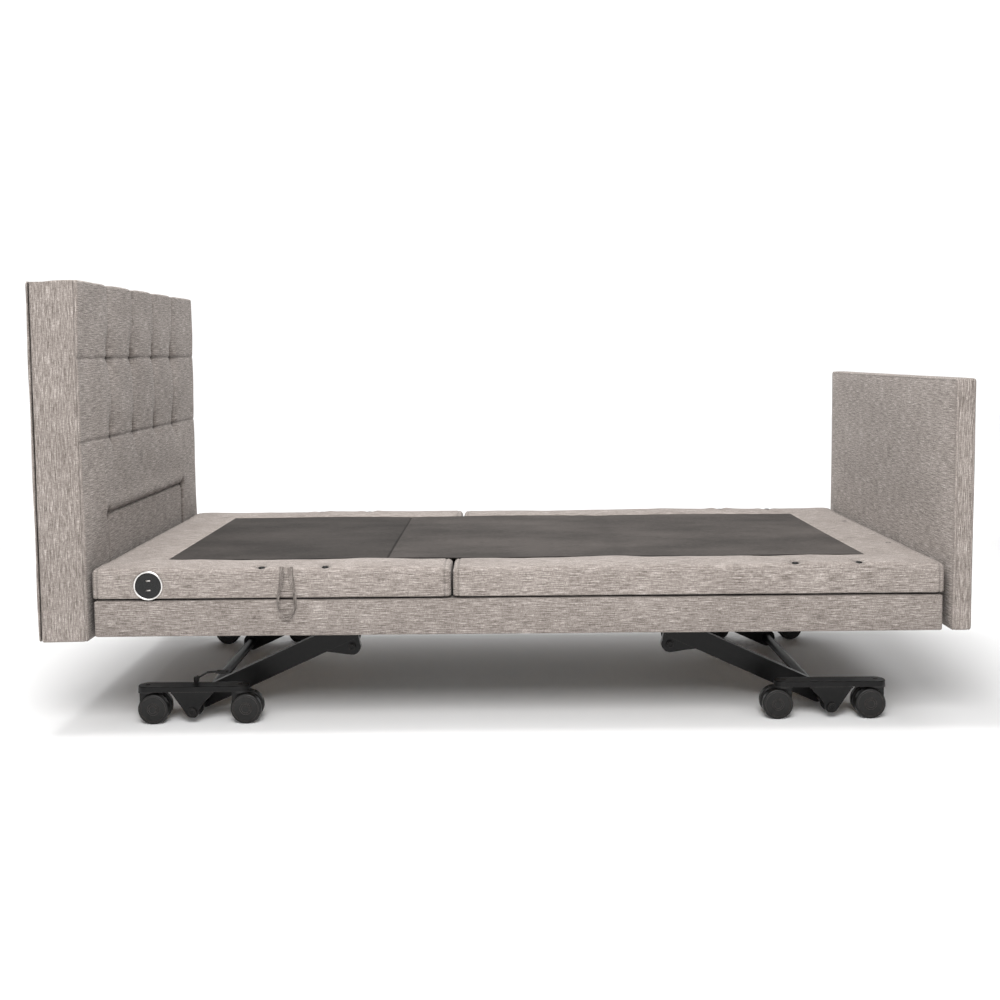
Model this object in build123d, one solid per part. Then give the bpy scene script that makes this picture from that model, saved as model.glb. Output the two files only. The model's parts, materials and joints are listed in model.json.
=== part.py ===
from build123d import *
import os
from math import atan2, cos, degrees, radians, sin

# Adjustable bed base on two caster bogies. Millimetres. The bed runs along X with its head at -X,
# Z is up from the floor, and the origin is on the floor under the middle of the whole length.

# overall deck
DECK_LENGTH = 2030
DECK_WIDTH = 1070
DECK_TOP = 401
BAND_HEIGHT = 73
BORDER_WIDTH = 140
BORDER_HEAD = 150
BORDER_FOOT = 155
BACK_LENGTH = 857
KNEE_LENGTH = 1275
SPLIT_GAP = 8
MAT_HINGE_CLEAR = 12
EDGE_ROUND = 14
CLEAR = 1

# deck build-up, downwards from the top
MAT_DROP = 1
MAT_THICK = 15
BOARD_THICK = 15
TUBE_HIGH = 20
WALL = 2
FRAME_TUBE = 30
CROSS_TUBE = 40
HINGE_DROP = 10

# upholstered rails and boards
RAIL_GAP = 4
RAIL_HEIGHT = 86
RAIL_THICK = 40
RAIL_END = 5
BOARD_OVER = 15
HEAD_GAP = 5
FOOT_GAP = 9
HEADBOARD_PAD = 109
HEADBOARD_SLOT = 3
HEADBOARD_BACK = 8
HEADBOARD_LOW = 229
HEADBOARD_HIGH = 1084
FOOTBOARD_THICK = 54
FOOTBOARD_LOW = 239
FOOTBOARD_HIGH = 839
BOARD_ROUND = 16
HEADBOARD_EDGE = 8
FOOTBOARD_EDGE = 7

# retainer sockets along the deck edge
SOCKET_R = 6
SOCKET_DEEP = 60
SOCKET_INSET = 22
SOCKET_PITCH = 152
BACK_SOCKETS = 478.5
LEG_SOCKETS_FROM_FOOT = 276.5
END_SOCKET_PITCH = 416
END_SOCKET_INSET = 35

# charging insert and hanging strap on the near edge of the back section
USB_AT = 136
USB_R = 34.5
USB_RIM = 3.6
USB_DEEP = 30
USB_PROUD = 2
PORT_WIDE = 12
PORT_HIGH = 4.5
PORT_PITCH = 23
PORT_DEEP = 9
STRAP_AT = 461
STRAP_SPREAD = 36
STRAP_LOW = 274
STRAP_THICK = 2.5
STRAP_WIDE = 12

# chassis
RAIL_TUBE_W = 30
CHASSIS_DROP = 91
RAIL_TUBE_H = 60
MEMBER_HIGH = 12
MEMBER_WIDE = 50
HEAD_MEMBER = 70
FOOT_MEMBER = 60
BACK_STOP = 128
SPLIT_MEMBER = 82
SECTION_ANCHOR = 352
POST = 4

# leg modules, in a local frame whose origin is the lower pivot, with the arm rising towards +X
BOGIE_HEAD = 211
BOGIE_FOOT = 244
ARM_RUN = 380
ARM_RISE = 128
PIVOT_LOW = 31
ARM_DROP = 41
ARM_TALL = 50
ARM_THICK = 25
ARM_INSET = 226.5
ARM_TO_TUBE = 38.5
ARM_OVER = 12
LUG_R = 22
LUG_STEP = 5
HANGER_THICK = 8
HANGER_R = 16
PIN_R = 8
PIN_HEAD_R = 9
RUN = 0.05
SHAFT_R = 12.5
TORQUE_R = 14
TORQUE_BACK = 59
CRANK_R = 100
CRANK_ANGLE = 120
CRANK_PLATE = 6
ROLLER_R = 10
ROLLER_W = 16

# carriages and casters
PLATE_LENGTH = 275
PLATE_WIDTH = 50
PLATE_THICK = 13
PLATE_OVER_WHEEL = 5
PLATE_INSET = 109
STEM_PITCH = 228
WHEEL_R = 37.5
WHEEL_W = 20
WHEEL_GAP = 16
HUB_R = 14
CAP_R = 9
CAP_PROUD = 2
DISH_R = 30
DISH_DEEP = 2
TYRE_ROUND = 4
AXLE_R = 4
TRAIL = 18
WEB = 13
STEM_R = 6
SWIVEL_R = 24
BRACKET_THICK = 5
BRACKET_TOP = 104
BRACKET_R = 16
BRACKET_FLANGE = 20
FLANGE_THICK = 4
INNER_BRACKET_IN = 8
SCREW_R = 4
WEB_BACK = 20
WEB_AHEAD = 18
HOOD_WIDE = 24

# brake lever on the near head carriage
BRAKE_OUT = 14
BRAKE_WIDE = 8
BRAKE_PIN_Z = 7
BRAKE_PIN_R = 2.5
BRAKE_BEND = (26, 21)
BRAKE_TIP = (74, 24)
PEDAL = (50, 76)
PEDAL_WIDE = 24
LUG_HALF = 6
LUG_HIGH = 12

# lift drives
DRIVE_STROKE_LOW = -17
DRIVE_STROKE_HIGH = 50
PUSHER_THICK = 8
PUSHER_GAP = 0.5
ROD_R = 8
GUIDE_R = 15
GUIDE_START = 28
SECTION_GUIDE_START = 14
PUSH_ROD = 190
FOOT_ANCHOR = 728
ANCHOR_OVER = 7
YOKE = 30
YOKE_WIDE = 24
MOTOR_LENGTH = 110
DRIVE_OVER_PIVOT = 66
DRIVE_BOX = 60
DRIVE_BOX_HIGH = 46
SECTION_DRIVE_Y = 110
LEVER_AHEAD = 25
LEVER_DOWN = 108
LEVER_THICK = 8
LEVER_R = 8
PUSHER_CLEAR = 10
CONTROL_BOX = (120, 110, 44)
CONTROL_FROM_FOOT = 376

# everything below follows from the sizes above
TOTAL = HEADBOARD_PAD + HEADBOARD_SLOT + HEADBOARD_BACK + HEAD_GAP + DECK_LENGTH + FOOT_GAP + FOOTBOARD_THICK
HEAD_X = -TOTAL / 2 + TOTAL - FOOTBOARD_THICK - FOOT_GAP - DECK_LENGTH
FOOT_X = HEAD_X + DECK_LENGTH
HALF = DECK_WIDTH / 2
BOARD_HALF = HALF + BOARD_OVER
ARM_Y = HALF - ARM_INSET
RAIL_TUBE_Y = ARM_Y - ARM_TO_TUBE
FRAME_Y = RAIL_TUBE_Y - FRAME_TUBE / 2
PLATE_Y = HALF - PLATE_INSET
PLATE_LOW = 2 * WHEEL_R + PLATE_OVER_WHEEL
PLATE_TOP = PLATE_LOW + PLATE_THICK
RAIL_TUBE_TOP = DECK_TOP - CHASSIS_DROP
SPLIT_X = HEAD_X + BACK_LENGTH
KNEE_X = HEAD_X + KNEE_LENGTH
BAND_LOW = DECK_TOP - BAND_HEIGHT
MAT_TOP = DECK_TOP - MAT_DROP
BOARD_TOP = MAT_TOP - MAT_THICK
CROSS_TOP = BOARD_TOP - BOARD_THICK
LONG_TOP = CROSS_TOP - TUBE_HIGH
LONG_LOW = LONG_TOP - TUBE_HIGH
INNER = HALF - BORDER_WIDTH - CLEAR
HINGE_Z = DECK_TOP - HINGE_DROP
KNEE_Z = LONG_LOW
RAIL_TOP = BAND_LOW - RAIL_GAP
RAIL_LOW = RAIL_TOP - RAIL_HEIGHT
ARM_PHI = atan2(ARM_RISE, ARM_RUN)
ARM_LENGTH = (ARM_RUN**2 + ARM_RISE**2) ** 0.5
ARM_SLOPE = ARM_PHI + atan2(ARM_DROP, (ARM_LENGTH**2 - ARM_DROP**2) ** 0.5)
PIVOT_ALONG = (ARM_LENGTH**2 - ARM_DROP**2) ** 0.5
PIVOT_HIGH = PIVOT_LOW + ARM_RISE
BOGIES = {"head": (HEAD_X + BOGIE_HEAD, 1), "foot": (FOOT_X - BOGIE_FOOT, -1)}
ANCHORS = {"head": BACK_LENGTH + SPLIT_MEMBER - BOGIE_HEAD, "foot": FOOT_ANCHOR}
USB_X, USB_Z = HEAD_X + USB_AT, (DECK_TOP + BAND_LOW) / 2 - 3 * CLEAR
EAR = 4
EAR_Y = FRAME_Y + FRAME_TUBE / 2
KNEE_BACK = 6


def block(x0, x1, y0, y1, z0, z1):
    return Pos((x0 + x1) / 2, (y0 + y1) / 2, (z0 + z1) / 2) * Box(x1 - x0, y1 - y0, z1 - z0)


def rod_y(x, z, r, y0, y1):
    return Pos(x, (y0 + y1) / 2, z) * Rot(90, 0, 0) * Cylinder(r, y1 - y0)


def rod_x(y, z, r, x0, x1):
    return Pos((x0 + x1) / 2, y, z) * Rot(0, 90, 0) * Cylinder(r, x1 - x0)


def rod_z(x, y, r, z0, z1):
    return Pos(x, y, (z0 + z1) / 2) * Cylinder(r, z1 - z0)


def slab_y(points, y0, y1):
    """A plate with the outline of points (x, z), from y0 to y1."""
    face = Plane.XZ * Polygon(*points, align=None)
    return Pos(0, (y0 + y1) / 2, 0) * extrude(face, (y1 - y0) / 2, both=True)


def link_y(start, end, r, y0, y1):
    """A flat link with round ends between two points (x, z)."""
    dx, dz = end[0] - start[0], end[1] - start[1]
    length = (dx**2 + dz**2) ** 0.5
    middle = Pos((start[0] + end[0]) / 2, (y0 + y1) / 2, (start[1] + end[1]) / 2)
    bar = middle * Rot(0, -degrees(atan2(dz, dx)), 0) * Box(length, y1 - y0, 2 * r)
    return bar + rod_y(*start, r, y0, y1) + rod_y(*end, r, y0, y1)


def tube_x(x0, x1, y0, y1, z0, z1):
    """A rectangular steel tube along X, open at its ends."""
    bore = block(x0 - 1, x1 + 1, y0 + WALL, y1 - WALL, z0 + WALL, z1 - WALL)
    return block(x0, x1, y0, y1, z0, z1) - bore


def tube_y(x0, x1, y0, y1, z0, z1):
    """A rectangular steel tube along Y, open at its ends."""
    bore = block(x0 + WALL, x1 - WALL, y0 - 1, y1 + 1, z0 + WALL, z1 - WALL)
    return block(x0, x1, y0, y1, z0, z1) - bore


def far(shape):
    return mirror(shape, about=Plane.XZ)


def group(*shapes):
    return Compound(children=[s for shape in shapes for s in shape.solids()])


def pillow(x0, x1, y0, y1, z0, z1, r=EDGE_ROUND, low=3):
    """A padded block: r rounds its upper and upright edges, low the rest."""
    body = block(x0, x1, y0, y1, z0, z1)
    body = fillet(body.edges().filter_by(Axis.Z), r)
    body = fillet(body.edges().group_by(Axis.Z)[-1], r - 1)
    return fillet(body.edges().group_by(Axis.Z)[0], low)


# ---------------------------------------------------------------- deck sections


def side_strip(x0, x1):
    return pillow(x0, x1, -HALF, -HALF + BORDER_WIDTH, BAND_LOW, DECK_TOP)


def end_strip(x0, x1):
    inside = HALF - BORDER_WIDTH
    return block(x0, x1, -inside, inside, BAND_LOW, DECK_TOP)


def side_sockets(strip, centre):
    for x in (centre - SOCKET_PITCH / 2, centre + SOCKET_PITCH / 2):
        strip -= rod_z(x, -HALF + SOCKET_INSET, SOCKET_R, DECK_TOP - SOCKET_DEEP, DECK_TOP + 1)
    return strip


def back_border():
    near = side_sockets(side_strip(HEAD_X, SPLIT_X - SPLIT_GAP / 2), HEAD_X + BACK_SOCKETS)
    seat = rod_y(USB_X, USB_Z, USB_R - USB_RIM + RUN, -HALF - 1, -HALF + USB_DEEP)
    other = side_sockets(side_strip(HEAD_X, SPLIT_X - SPLIT_GAP / 2), HEAD_X + BACK_SOCKETS)
    return group(near - seat, far(other), end_strip(HEAD_X, HEAD_X + BORDER_HEAD))


def thigh_border():
    near = side_strip(SPLIT_X + SPLIT_GAP / 2, KNEE_X - CLEAR)
    return group(near, far(near))


def calf_border():
    near = side_sockets(side_strip(KNEE_X + CLEAR, FOOT_X), FOOT_X - LEG_SOCKETS_FROM_FOOT)
    end = end_strip(FOOT_X - BORDER_FOOT, FOOT_X)
    for y in (-END_SOCKET_PITCH / 2, END_SOCKET_PITCH / 2):
        end -= rod_z(FOOT_X - END_SOCKET_INSET, y, SOCKET_R, DECK_TOP - SOCKET_DEEP, DECK_TOP + 1)
    return group(near, far(near), end)


SPANS = {
    "back": (HEAD_X + BORDER_HEAD + CLEAR, SPLIT_X - MAT_HINGE_CLEAR),
    "thigh": (SPLIT_X + MAT_HINGE_CLEAR, KNEE_X - CLEAR),
    "calf": (KNEE_X + CLEAR, FOOT_X - BORDER_FOOT - CLEAR),
}


def mat(section):
    x0, x1 = SPANS[section]
    return block(x0, x1, -INNER, INNER, BOARD_TOP, MAT_TOP)


def board(section):
    x0, x1 = SPANS[section]
    return block(x0, x1, -INNER, INNER, CROSS_TOP, BOARD_TOP)


def hinge_ear(away, y0, y1):
    """An ear at the deck hinge, on an end plate that closes the section's long tube."""
    r = MAT_HINGE_CLEAR / 2
    ear = link_y((SPLIT_X, HINGE_Z), (SPLIT_X + away * r, HINGE_Z - 2 * MAT_HINGE_CLEAR - 4), r, y0, y1)
    x0, x1 = sorted((SPLIT_X + away * (r + 1), SPLIT_X + away * MAT_HINGE_CLEAR))
    plate = block(x0, x1, FRAME_Y - FRAME_TUBE / 2, y1, LONG_LOW, CROSS_TOP - r)
    return ear + plate - rod_y(SPLIT_X, HINGE_Z, r / 2 + RUN, y0 - 1, y1 + 1)


def knee_ear(away, y0, y1):
    r = MAT_HINGE_CLEAR / 2
    at = (KNEE_X, KNEE_Z)
    reach = (KNEE_X + away * FRAME_TUBE, LONG_TOP - TUBE_HIGH / 2)
    return link_y(at, reach, r, y0, y1) - rod_y(*at, r / 2 + RUN, y0 - 1, y1 + 1)


def lever(away, y):
    """The crank that a section drive pushes. away is the side of the hinge its section lies on."""
    root = (SPLIT_X + away * (MAT_HINGE_CLEAR + CROSS_TUBE / 2), LONG_TOP + 2)
    tip = (SPLIT_X - away * LEVER_AHEAD, HINGE_Z - LEVER_DOWN)
    plate = link_y(root, tip, LEVER_R, y - LEVER_THICK / 2, y + LEVER_THICK / 2)
    plate -= block(SPLIT_X - 300, SPLIT_X + 300, y - 50, y + 50, LONG_TOP, LONG_TOP + 60)
    return plate + rod_y(*tip, ROLLER_R, y - ROLLER_W / 2, y + ROLLER_W / 2)


def section_frame(section, hinge_side, knee_side, drive_y):
    """Two long tubes and the cross tubes on them, with the ears and lever that the section needs."""
    x0, x1 = SPANS[section]
    a = x0 + KNEE_BACK if knee_side > 0 else x0
    b = x1 - KNEE_BACK if knee_side < 0 else x1
    long_tube = tube_x(a, b, FRAME_Y - FRAME_TUBE / 2, FRAME_Y + FRAME_TUBE / 2, LONG_LOW, LONG_TOP)
    if hinge_side:
        y0 = EAR_Y + 2 * EAR + 3 if hinge_side < 0 else EAR_Y
        long_tube += hinge_ear(hinge_side, y0, y0 + EAR)
    if knee_side:
        y0 = EAR_Y if knee_side < 0 else EAR_Y + EAR + 1
        long_tube += knee_ear(knee_side, y0, y0 + EAR)
        long_tube += knee_pad(knee_side, y0)
        if knee_side < 0:
            long_tube += rod_y(KNEE_X, KNEE_Z, MAT_HINGE_CLEAR / 4, y0, y0 + 2 * EAR + 2)
    near = far(long_tube)
    crosses = []
    count = max(2, round((x1 - x0) / 320))
    for i in range(count):
        x = x0 + (x1 - x0 - CROSS_TUBE) * i / (count - 1)
        crosses.append(tube_y(x, x + CROSS_TUBE, -INNER, INNER, LONG_TOP, CROSS_TOP))
    extra = [lever(hinge_side, drive_y)] if hinge_side else []
    return group(long_tube, near, *crosses, *extra)


def knee_pad(away, y0):
    x0, x1 = sorted((KNEE_X + away * FRAME_TUBE, KNEE_X + 2 * away * FRAME_TUBE))
    return block(x0, x1, EAR_Y - 1, y0 + EAR, LONG_LOW, LONG_TOP)


def usb_insert():
    x, z = USB_X, USB_Z
    body = rod_y(x, z, USB_R, -HALF - USB_PROUD, -HALF)
    body += rod_y(x, z, USB_R - USB_RIM, -HALF - CLEAR, -HALF + USB_DEEP - CLEAR)
    body -= rod_y(x, z, USB_R - USB_RIM, -HALF - USB_PROUD - 1, -HALF - CLEAR)
    for dz in (-PORT_PITCH / 2, PORT_PITCH / 2):
        body -= block(x - PORT_WIDE / 2, x + PORT_WIDE / 2, -HALF - 5, -HALF + PORT_DEEP,
                      z + dz - PORT_HIGH / 2, z + dz + PORT_HIGH / 2)
    return body


def strap():
    """A narrow webbing loop that hangs edge-on beside the deck edge."""
    x, r = HEAD_X + STRAP_AT, STRAP_SPREAD / 2
    y0, y1 = -HALF - CLEAR - STRAP_WIDE, -HALF - CLEAR
    bend, top = STRAP_LOW + r, DECK_TOP - EDGE_ROUND
    outer = rod_y(x, bend, r, y0, y1) + block(x - r, x + r, y0, y1, bend, top)
    r -= STRAP_THICK
    inner = rod_y(x, bend, r, y0 - 1, y1 + 1) + block(x - r, x + r, y0 - 1, y1 + 1, bend, top - STRAP_THICK)
    return outer - inner


# ---------------------------------------------------------------- boards and rails


def side_rail():
    x0, x1 = HEAD_X + RAIL_END, FOOT_X - RAIL_END
    return pillow(x0, x1, -HALF, -HALF + RAIL_THICK, RAIL_LOW, RAIL_TOP, r=5, low=3)


def headboard_pad():
    front = HEAD_X - HEAD_GAP
    body = block(front - HEADBOARD_PAD, front, -BOARD_HALF, BOARD_HALF, HEADBOARD_LOW, HEADBOARD_HIGH)
    body = fillet(body.edges().filter_by(Axis.X), BOARD_ROUND)
    return fillet(body.edges().group_by(Axis.X)[-1], HEADBOARD_EDGE)


def headboard_back_panel():
    face = HEAD_X - HEAD_GAP - HEADBOARD_PAD
    back = face - HEADBOARD_SLOT
    panel = block(back - HEADBOARD_BACK, back, -BOARD_HALF, BOARD_HALF, HEADBOARD_LOW, HEADBOARD_HIGH)
    panel = fillet(panel.edges().filter_by(Axis.X), BOARD_ROUND)
    half, low, high = BOARD_HALF - BOARD_ROUND, HEADBOARD_LOW + BOARD_ROUND, HEADBOARD_HIGH - BOARD_ROUND
    return panel + block(back, face, -half, half, low, high)


def footboard():
    inner = FOOT_X + FOOT_GAP
    outer = inner + FOOTBOARD_THICK
    body = block(inner, outer, -BOARD_HALF, BOARD_HALF, FOOTBOARD_LOW, FOOTBOARD_HIGH)
    body = fillet(body.edges().filter_by(Axis.X), BOARD_ROUND)
    return fillet(body.edges().filter_by(Axis.Y) + body.edges().filter_by(Axis.Z), FOOTBOARD_EDGE)


def board_brackets():
    y0, y1 = RAIL_TUBE_Y - RAIL_TUBE_W, RAIL_TUBE_Y + 2 * RAIL_TUBE_W
    low = RAIL_TUBE_TOP - RAIL_TUBE_H
    head = block(HEAD_X - HEAD_GAP, HEAD_X, y0, y1, low, RAIL_TUBE_TOP)
    foot = block(FOOT_X, FOOT_X + FOOT_GAP, y0, y1, low, RAIL_TUBE_TOP)
    return group(head, far(head), foot, far(foot))


# ---------------------------------------------------------------- chassis

MEMBERS = {
    "head": HEAD_X + HEAD_MEMBER,
    "leg_drive": SPLIT_X - SECTION_ANCHOR,
    "back_stop": SPLIT_X - BACK_STOP,
    "split": SPLIT_X + SPLIT_MEMBER,
    "foot_drive": FOOT_X - BOGIE_FOOT - FOOT_ANCHOR,
    "back_drive": SPLIT_X + SECTION_ANCHOR,
    "control": FOOT_X - CONTROL_FROM_FOOT,
    "foot": FOOT_X - FOOT_MEMBER,
}


def chassis_frame():
    low = RAIL_TUBE_TOP - RAIL_TUBE_H
    y0, y1 = -RAIL_TUBE_Y - RAIL_TUBE_W / 2, -RAIL_TUBE_Y + RAIL_TUBE_W / 2
    tube = tube_x(HEAD_X, FOOT_X, y0, y1, low, RAIL_TUBE_TOP)
    reach = HALF - RAIL_THICK
    half = MEMBER_WIDE / 2
    top = RAIL_TUBE_TOP + MEMBER_HIGH
    members = [tube_y(x - half, x + half, -reach, reach, RAIL_TUBE_TOP, top) for x in MEMBERS.values()]
    return group(tube, far(tube), *members, hinge_post(), far(hinge_post()))


def hinge_post():
    """Carries both deck hinges: a foot on the split member, a slim post and the hinge pin."""
    r = MAT_HINGE_CLEAR / 2
    y0 = EAR_Y + EAR + 1
    y1 = y0 + POST
    foot_top = RAIL_TUBE_TOP + MEMBER_HIGH
    sill = block(SPLIT_X - r, MEMBERS["split"] - MEMBER_WIDE / 2, y0, y1, RAIL_TUBE_TOP, foot_top)
    post = block(SPLIT_X - r, SPLIT_X + r, y0, y1, RAIL_TUBE_TOP, HINGE_Z)
    pin = rod_y(SPLIT_X, HINGE_Z, r / 2, y0 - EAR - 3 * CLEAR, y1 + EAR + 4 * CLEAR)
    return sill + post + rod_y(SPLIT_X, HINGE_Z, r, y0, y1) + pin


def arm_hangers():
    outer = RAIL_TUBE_Y + RAIL_TUBE_W / 2
    lug_face = ARM_Y + ARM_THICK / 2 - LUG_STEP
    solids = []
    for x, side in BOGIES.values():
        px = x + side * ARM_RUN
        plate = slab_y(
            [(px - 2 * HANGER_R, RAIL_TUBE_TOP), (px + 2 * HANGER_R, RAIL_TUBE_TOP),
             (px + 2 * HANGER_R, RAIL_TUBE_TOP - RAIL_TUBE_H), (px + HANGER_R, PIVOT_HIGH),
             (px - HANGER_R, PIVOT_HIGH), (px - 2 * HANGER_R, RAIL_TUBE_TOP - RAIL_TUBE_H)],
            outer, outer + HANGER_THICK)
        plate += rod_y(px, PIVOT_HIGH, HANGER_R, outer, outer + HANGER_THICK)
        plate += rod_y(px, PIVOT_HIGH, PIN_R, outer, lug_face + 2)
        plate += rod_y(px, PIVOT_HIGH, PIN_HEAD_R, lug_face + 0.5, lug_face + LUG_STEP + 1)
        solids += [plate, far(plate)]
    return group(*solids)


def control_box():
    length, width, high = CONTROL_BOX
    x = MEMBERS["control"]
    body = block(x - length / 2, x + length / 2, -width / 2, width / 2, RAIL_TUBE_TOP - high, RAIL_TUBE_TOP)
    return fillet(body.edges().filter_by(Axis.Z), 8)


# ---------------------------------------------------------------- leg modules


def placed(shape, end):
    """Moves a shape from the leg module's local frame to the head or foot end."""
    x, side = BOGIES[end]
    local = shape if side > 0 else mirror(shape, about=Plane.YZ)
    return Pos(x, 0, 0) * local


def on_arm(along, across):
    """(x, z) of a point along the arm's centreline and square to it."""
    return (along * cos(ARM_SLOPE) - across * sin(ARM_SLOPE),
            PIVOT_LOW + along * sin(ARM_SLOPE) + across * cos(ARM_SLOPE))


def lift_arms():
    y0, y1 = ARM_Y - ARM_THICK / 2, ARM_Y + ARM_THICK / 2
    half = ARM_TALL / 2
    over = PIVOT_ALONG + ARM_OVER
    bar = slab_y([on_arm(0, -half), on_arm(over, -half), on_arm(over, half), on_arm(0, half)], y0, y1)
    bar += rod_y(*on_arm(0, 0), half, y0, y1)
    bar += rod_y(*on_arm(over, 0), half, y0, y1)
    pivot = on_arm(PIVOT_ALONG, -ARM_DROP)
    lug_x, lug_z = PIVOT_ALONG - LUG_R * sin(radians(30)), -ARM_DROP - LUG_R * cos(radians(30))
    lug = slab_y(
        [on_arm(PIVOT_ALONG - 3 * LUG_R, -half), on_arm(lug_x, lug_z),
         on_arm(PIVOT_ALONG, -ARM_DROP), on_arm(PIVOT_ALONG + LUG_R, -ARM_DROP),
         on_arm(over + half - 4, 0), on_arm(PIVOT_ALONG - 3 * LUG_R, 0)], y0, y1 - LUG_STEP)
    lug += rod_y(*pivot, LUG_R, y0, y1 - LUG_STEP)
    arm = bar + lug - rod_y(*pivot, PIN_R + RUN, y0 - 1, y1 + 1)
    arm -= rod_y(*on_arm(0, 0), SHAFT_R + RUN, y0 - 1, y1 + 1)
    return group(arm, far(arm))


def bracket_faces():
    """Where the outer and inner pivot brackets of a carriage lie, as (y0, y1)."""
    outer = PLATE_Y + PLATE_WIDTH / 2
    inner = PLATE_Y - PLATE_WIDTH / 2 + INNER_BRACKET_IN
    return (outer - BRACKET_THICK, outer), (inner, inner + BRACKET_THICK)


def lift_cross_tube():
    (y0, y1), _ = bracket_faces()
    tube = rod_y(0, PIVOT_LOW, SHAFT_R, -y0 + CLEAR, y0 - CLEAR)
    tube -= rod_y(0, PIVOT_LOW, SHAFT_R - 2 * WALL, -y0 + 40, y0 - 40)
    stub = rod_y(0, PIVOT_LOW, PIN_R, y0 - 3, y1 + 2)
    stub += rod_y(0, PIVOT_LOW, PIN_HEAD_R + 1, y1 + 0.5, y1 + 5)
    return tube + stub + far(stub)


def crank_tip():
    px, pz = on_arm(PIVOT_ALONG, -ARM_DROP)
    angle = radians(CRANK_ANGLE)
    return px + CRANK_R * cos(angle), pz + CRANK_R * sin(angle)


def lift_torque_tube():
    at = on_arm(PIVOT_ALONG - TORQUE_BACK, 0)
    reach = ARM_Y - ARM_THICK / 2
    tube = rod_y(*at, TORQUE_R, -reach, reach) - rod_y(*at, TORQUE_R - 2 * WALL, -reach - 1, reach + 1)
    half = ROLLER_W / 2
    crank = link_y(at, crank_tip(), ROLLER_R - 1, half, half + CRANK_PLATE)
    return tube + crank + far(crank) + rod_y(*crank_tip(), ROLLER_R, -half, half)


def carriage_plates():
    half = PLATE_LENGTH / 2
    y0, y1 = -PLATE_Y - PLATE_WIDTH / 2, -PLATE_Y + PLATE_WIDTH / 2
    plate = block(-half, half, y0, y1, PLATE_LOW, PLATE_TOP)
    plate = fillet(plate.edges().filter_by(Axis.Z), PLATE_WIDTH / 2 - 0.5)
    plate = fillet(plate.edges().group_by(Axis.Z)[-1], 2)
    for x in (-STEM_PITCH / 2, STEM_PITCH / 2):
        plate -= rod_z(x, -PLATE_Y, STEM_R + RUN, PLATE_LOW - 1, PLATE_TOP + 1)
    return group(plate, far(plate))


def pivot_brackets():
    half, low = BRACKET_TOP / 2, PLATE_LOW - FLANGE_THICK
    solids = []
    for i, (y0, y1) in enumerate(bracket_faces()):
        hole = (PIN_R if i == 0 else SHAFT_R) + RUN
        r = BRACKET_R if i == 0 else BRACKET_R + 3
        plate = slab_y(
            [(-half, PLATE_LOW), (half, PLATE_LOW), (half - 8, low - 8), (half - 24, low - 22),
             (r, PIVOT_LOW + 4), (r, PIVOT_LOW), (-r * 0.77, PIVOT_LOW - r * 0.64)], y0, y1)
        plate += rod_y(0, PIVOT_LOW, r, y0, y1)
        flange = (y0 - BRACKET_FLANGE, y1) if i == 0 else (y0, y1 + BRACKET_FLANGE / 2)
        plate += block(-half, half, *flange, low, PLATE_LOW)
        plate -= rod_y(0, PIVOT_LOW, hole, y0 - 1, y1 + 1)
        solids += [plate, far(plate)]
    return group(*solids)


def carriage_screws():
    (y0, _), _ = bracket_faces()
    y = y0 - BRACKET_FLANGE / 2
    solids = []
    for x in (-BRACKET_TOP / 2 + 14, BRACKET_TOP / 2 - 14):
        head = rod_z(x, y, SCREW_R, PLATE_LOW - FLANGE_THICK - 3, PLATE_LOW - FLANGE_THICK)
        solids += [head, far(head)]
    return group(*solids)


def caster_body(x, y):
    """A twin-wheel caster housing, with its stem at (x, y) and its axle one trail towards +X."""
    top = PLATE_LOW - 0.3
    skirt = WHEEL_R + CLEAR
    axle = (x + TRAIL, WHEEL_R)
    y0, y1 = y - WEB / 2, y + WEB / 2
    web = slab_y(
        [(x - WEB_BACK, top - 2), (axle[0] + WEB_AHEAD, top - 2), (axle[0] + WEB_AHEAD - 2, WHEEL_R),
         (axle[0] - AXLE_R - 6, WHEEL_R - 3 * AXLE_R), (x - WEB_BACK, WHEEL_R + 6)], y0, y1)
    web += rod_y(*axle, HUB_R, y0, y1)
    hood = block(x - WEB_BACK, axle[0] + WEB_AHEAD, y - HOOD_WIDE / 2, y + HOOD_WIDE / 2, skirt * 2, top)
    hood &= rod_y(*axle, skirt + 3, y - HOOD_WIDE, y + HOOD_WIDE)
    body = web + rod_z(x, y, SWIVEL_R, skirt + WHEEL_R, top) + rod_z(x, y, STEM_R, top - 4, PLATE_TOP - 1)
    return body + hood - rod_y(*axle, AXLE_R + RUN, y - WEB, y + WEB)


def caster_wheels(x, y):
    """Two dished wheels on one axle."""
    inner, face = WHEEL_GAP / 2, WHEEL_GAP / 2 + WHEEL_W
    profile = Polyline(
        (0, inner - 1), (CAP_R, inner - 1), (CAP_R + 1, inner), (WHEEL_R, inner), (WHEEL_R, face),
        (DISH_R + 1, face), (DISH_R, face - DISH_DEEP), (HUB_R + 1, face - DISH_DEEP), (HUB_R, face),
        (CAP_R + 1, face), (CAP_R, face + CAP_PROUD), (0, face + CAP_PROUD), close=True)
    wheel = revolve(make_face(Plane.XZ * profile), Axis.Z)
    rims = wheel.edges().filter_by(GeomType.CIRCLE).sort_by(SortBy.RADIUS)[-2:]
    wheel = fillet(rims, TYRE_ROUND)
    at = (x + TRAIL, y, WHEEL_R)
    near = Pos(*at) * Rot(90, 0, 0) * wheel
    other = Pos(*at) * Rot(-90, 0, 0) * wheel
    return near + other + rod_y(at[0], at[2], AXLE_R, y - face, y + face)


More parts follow.
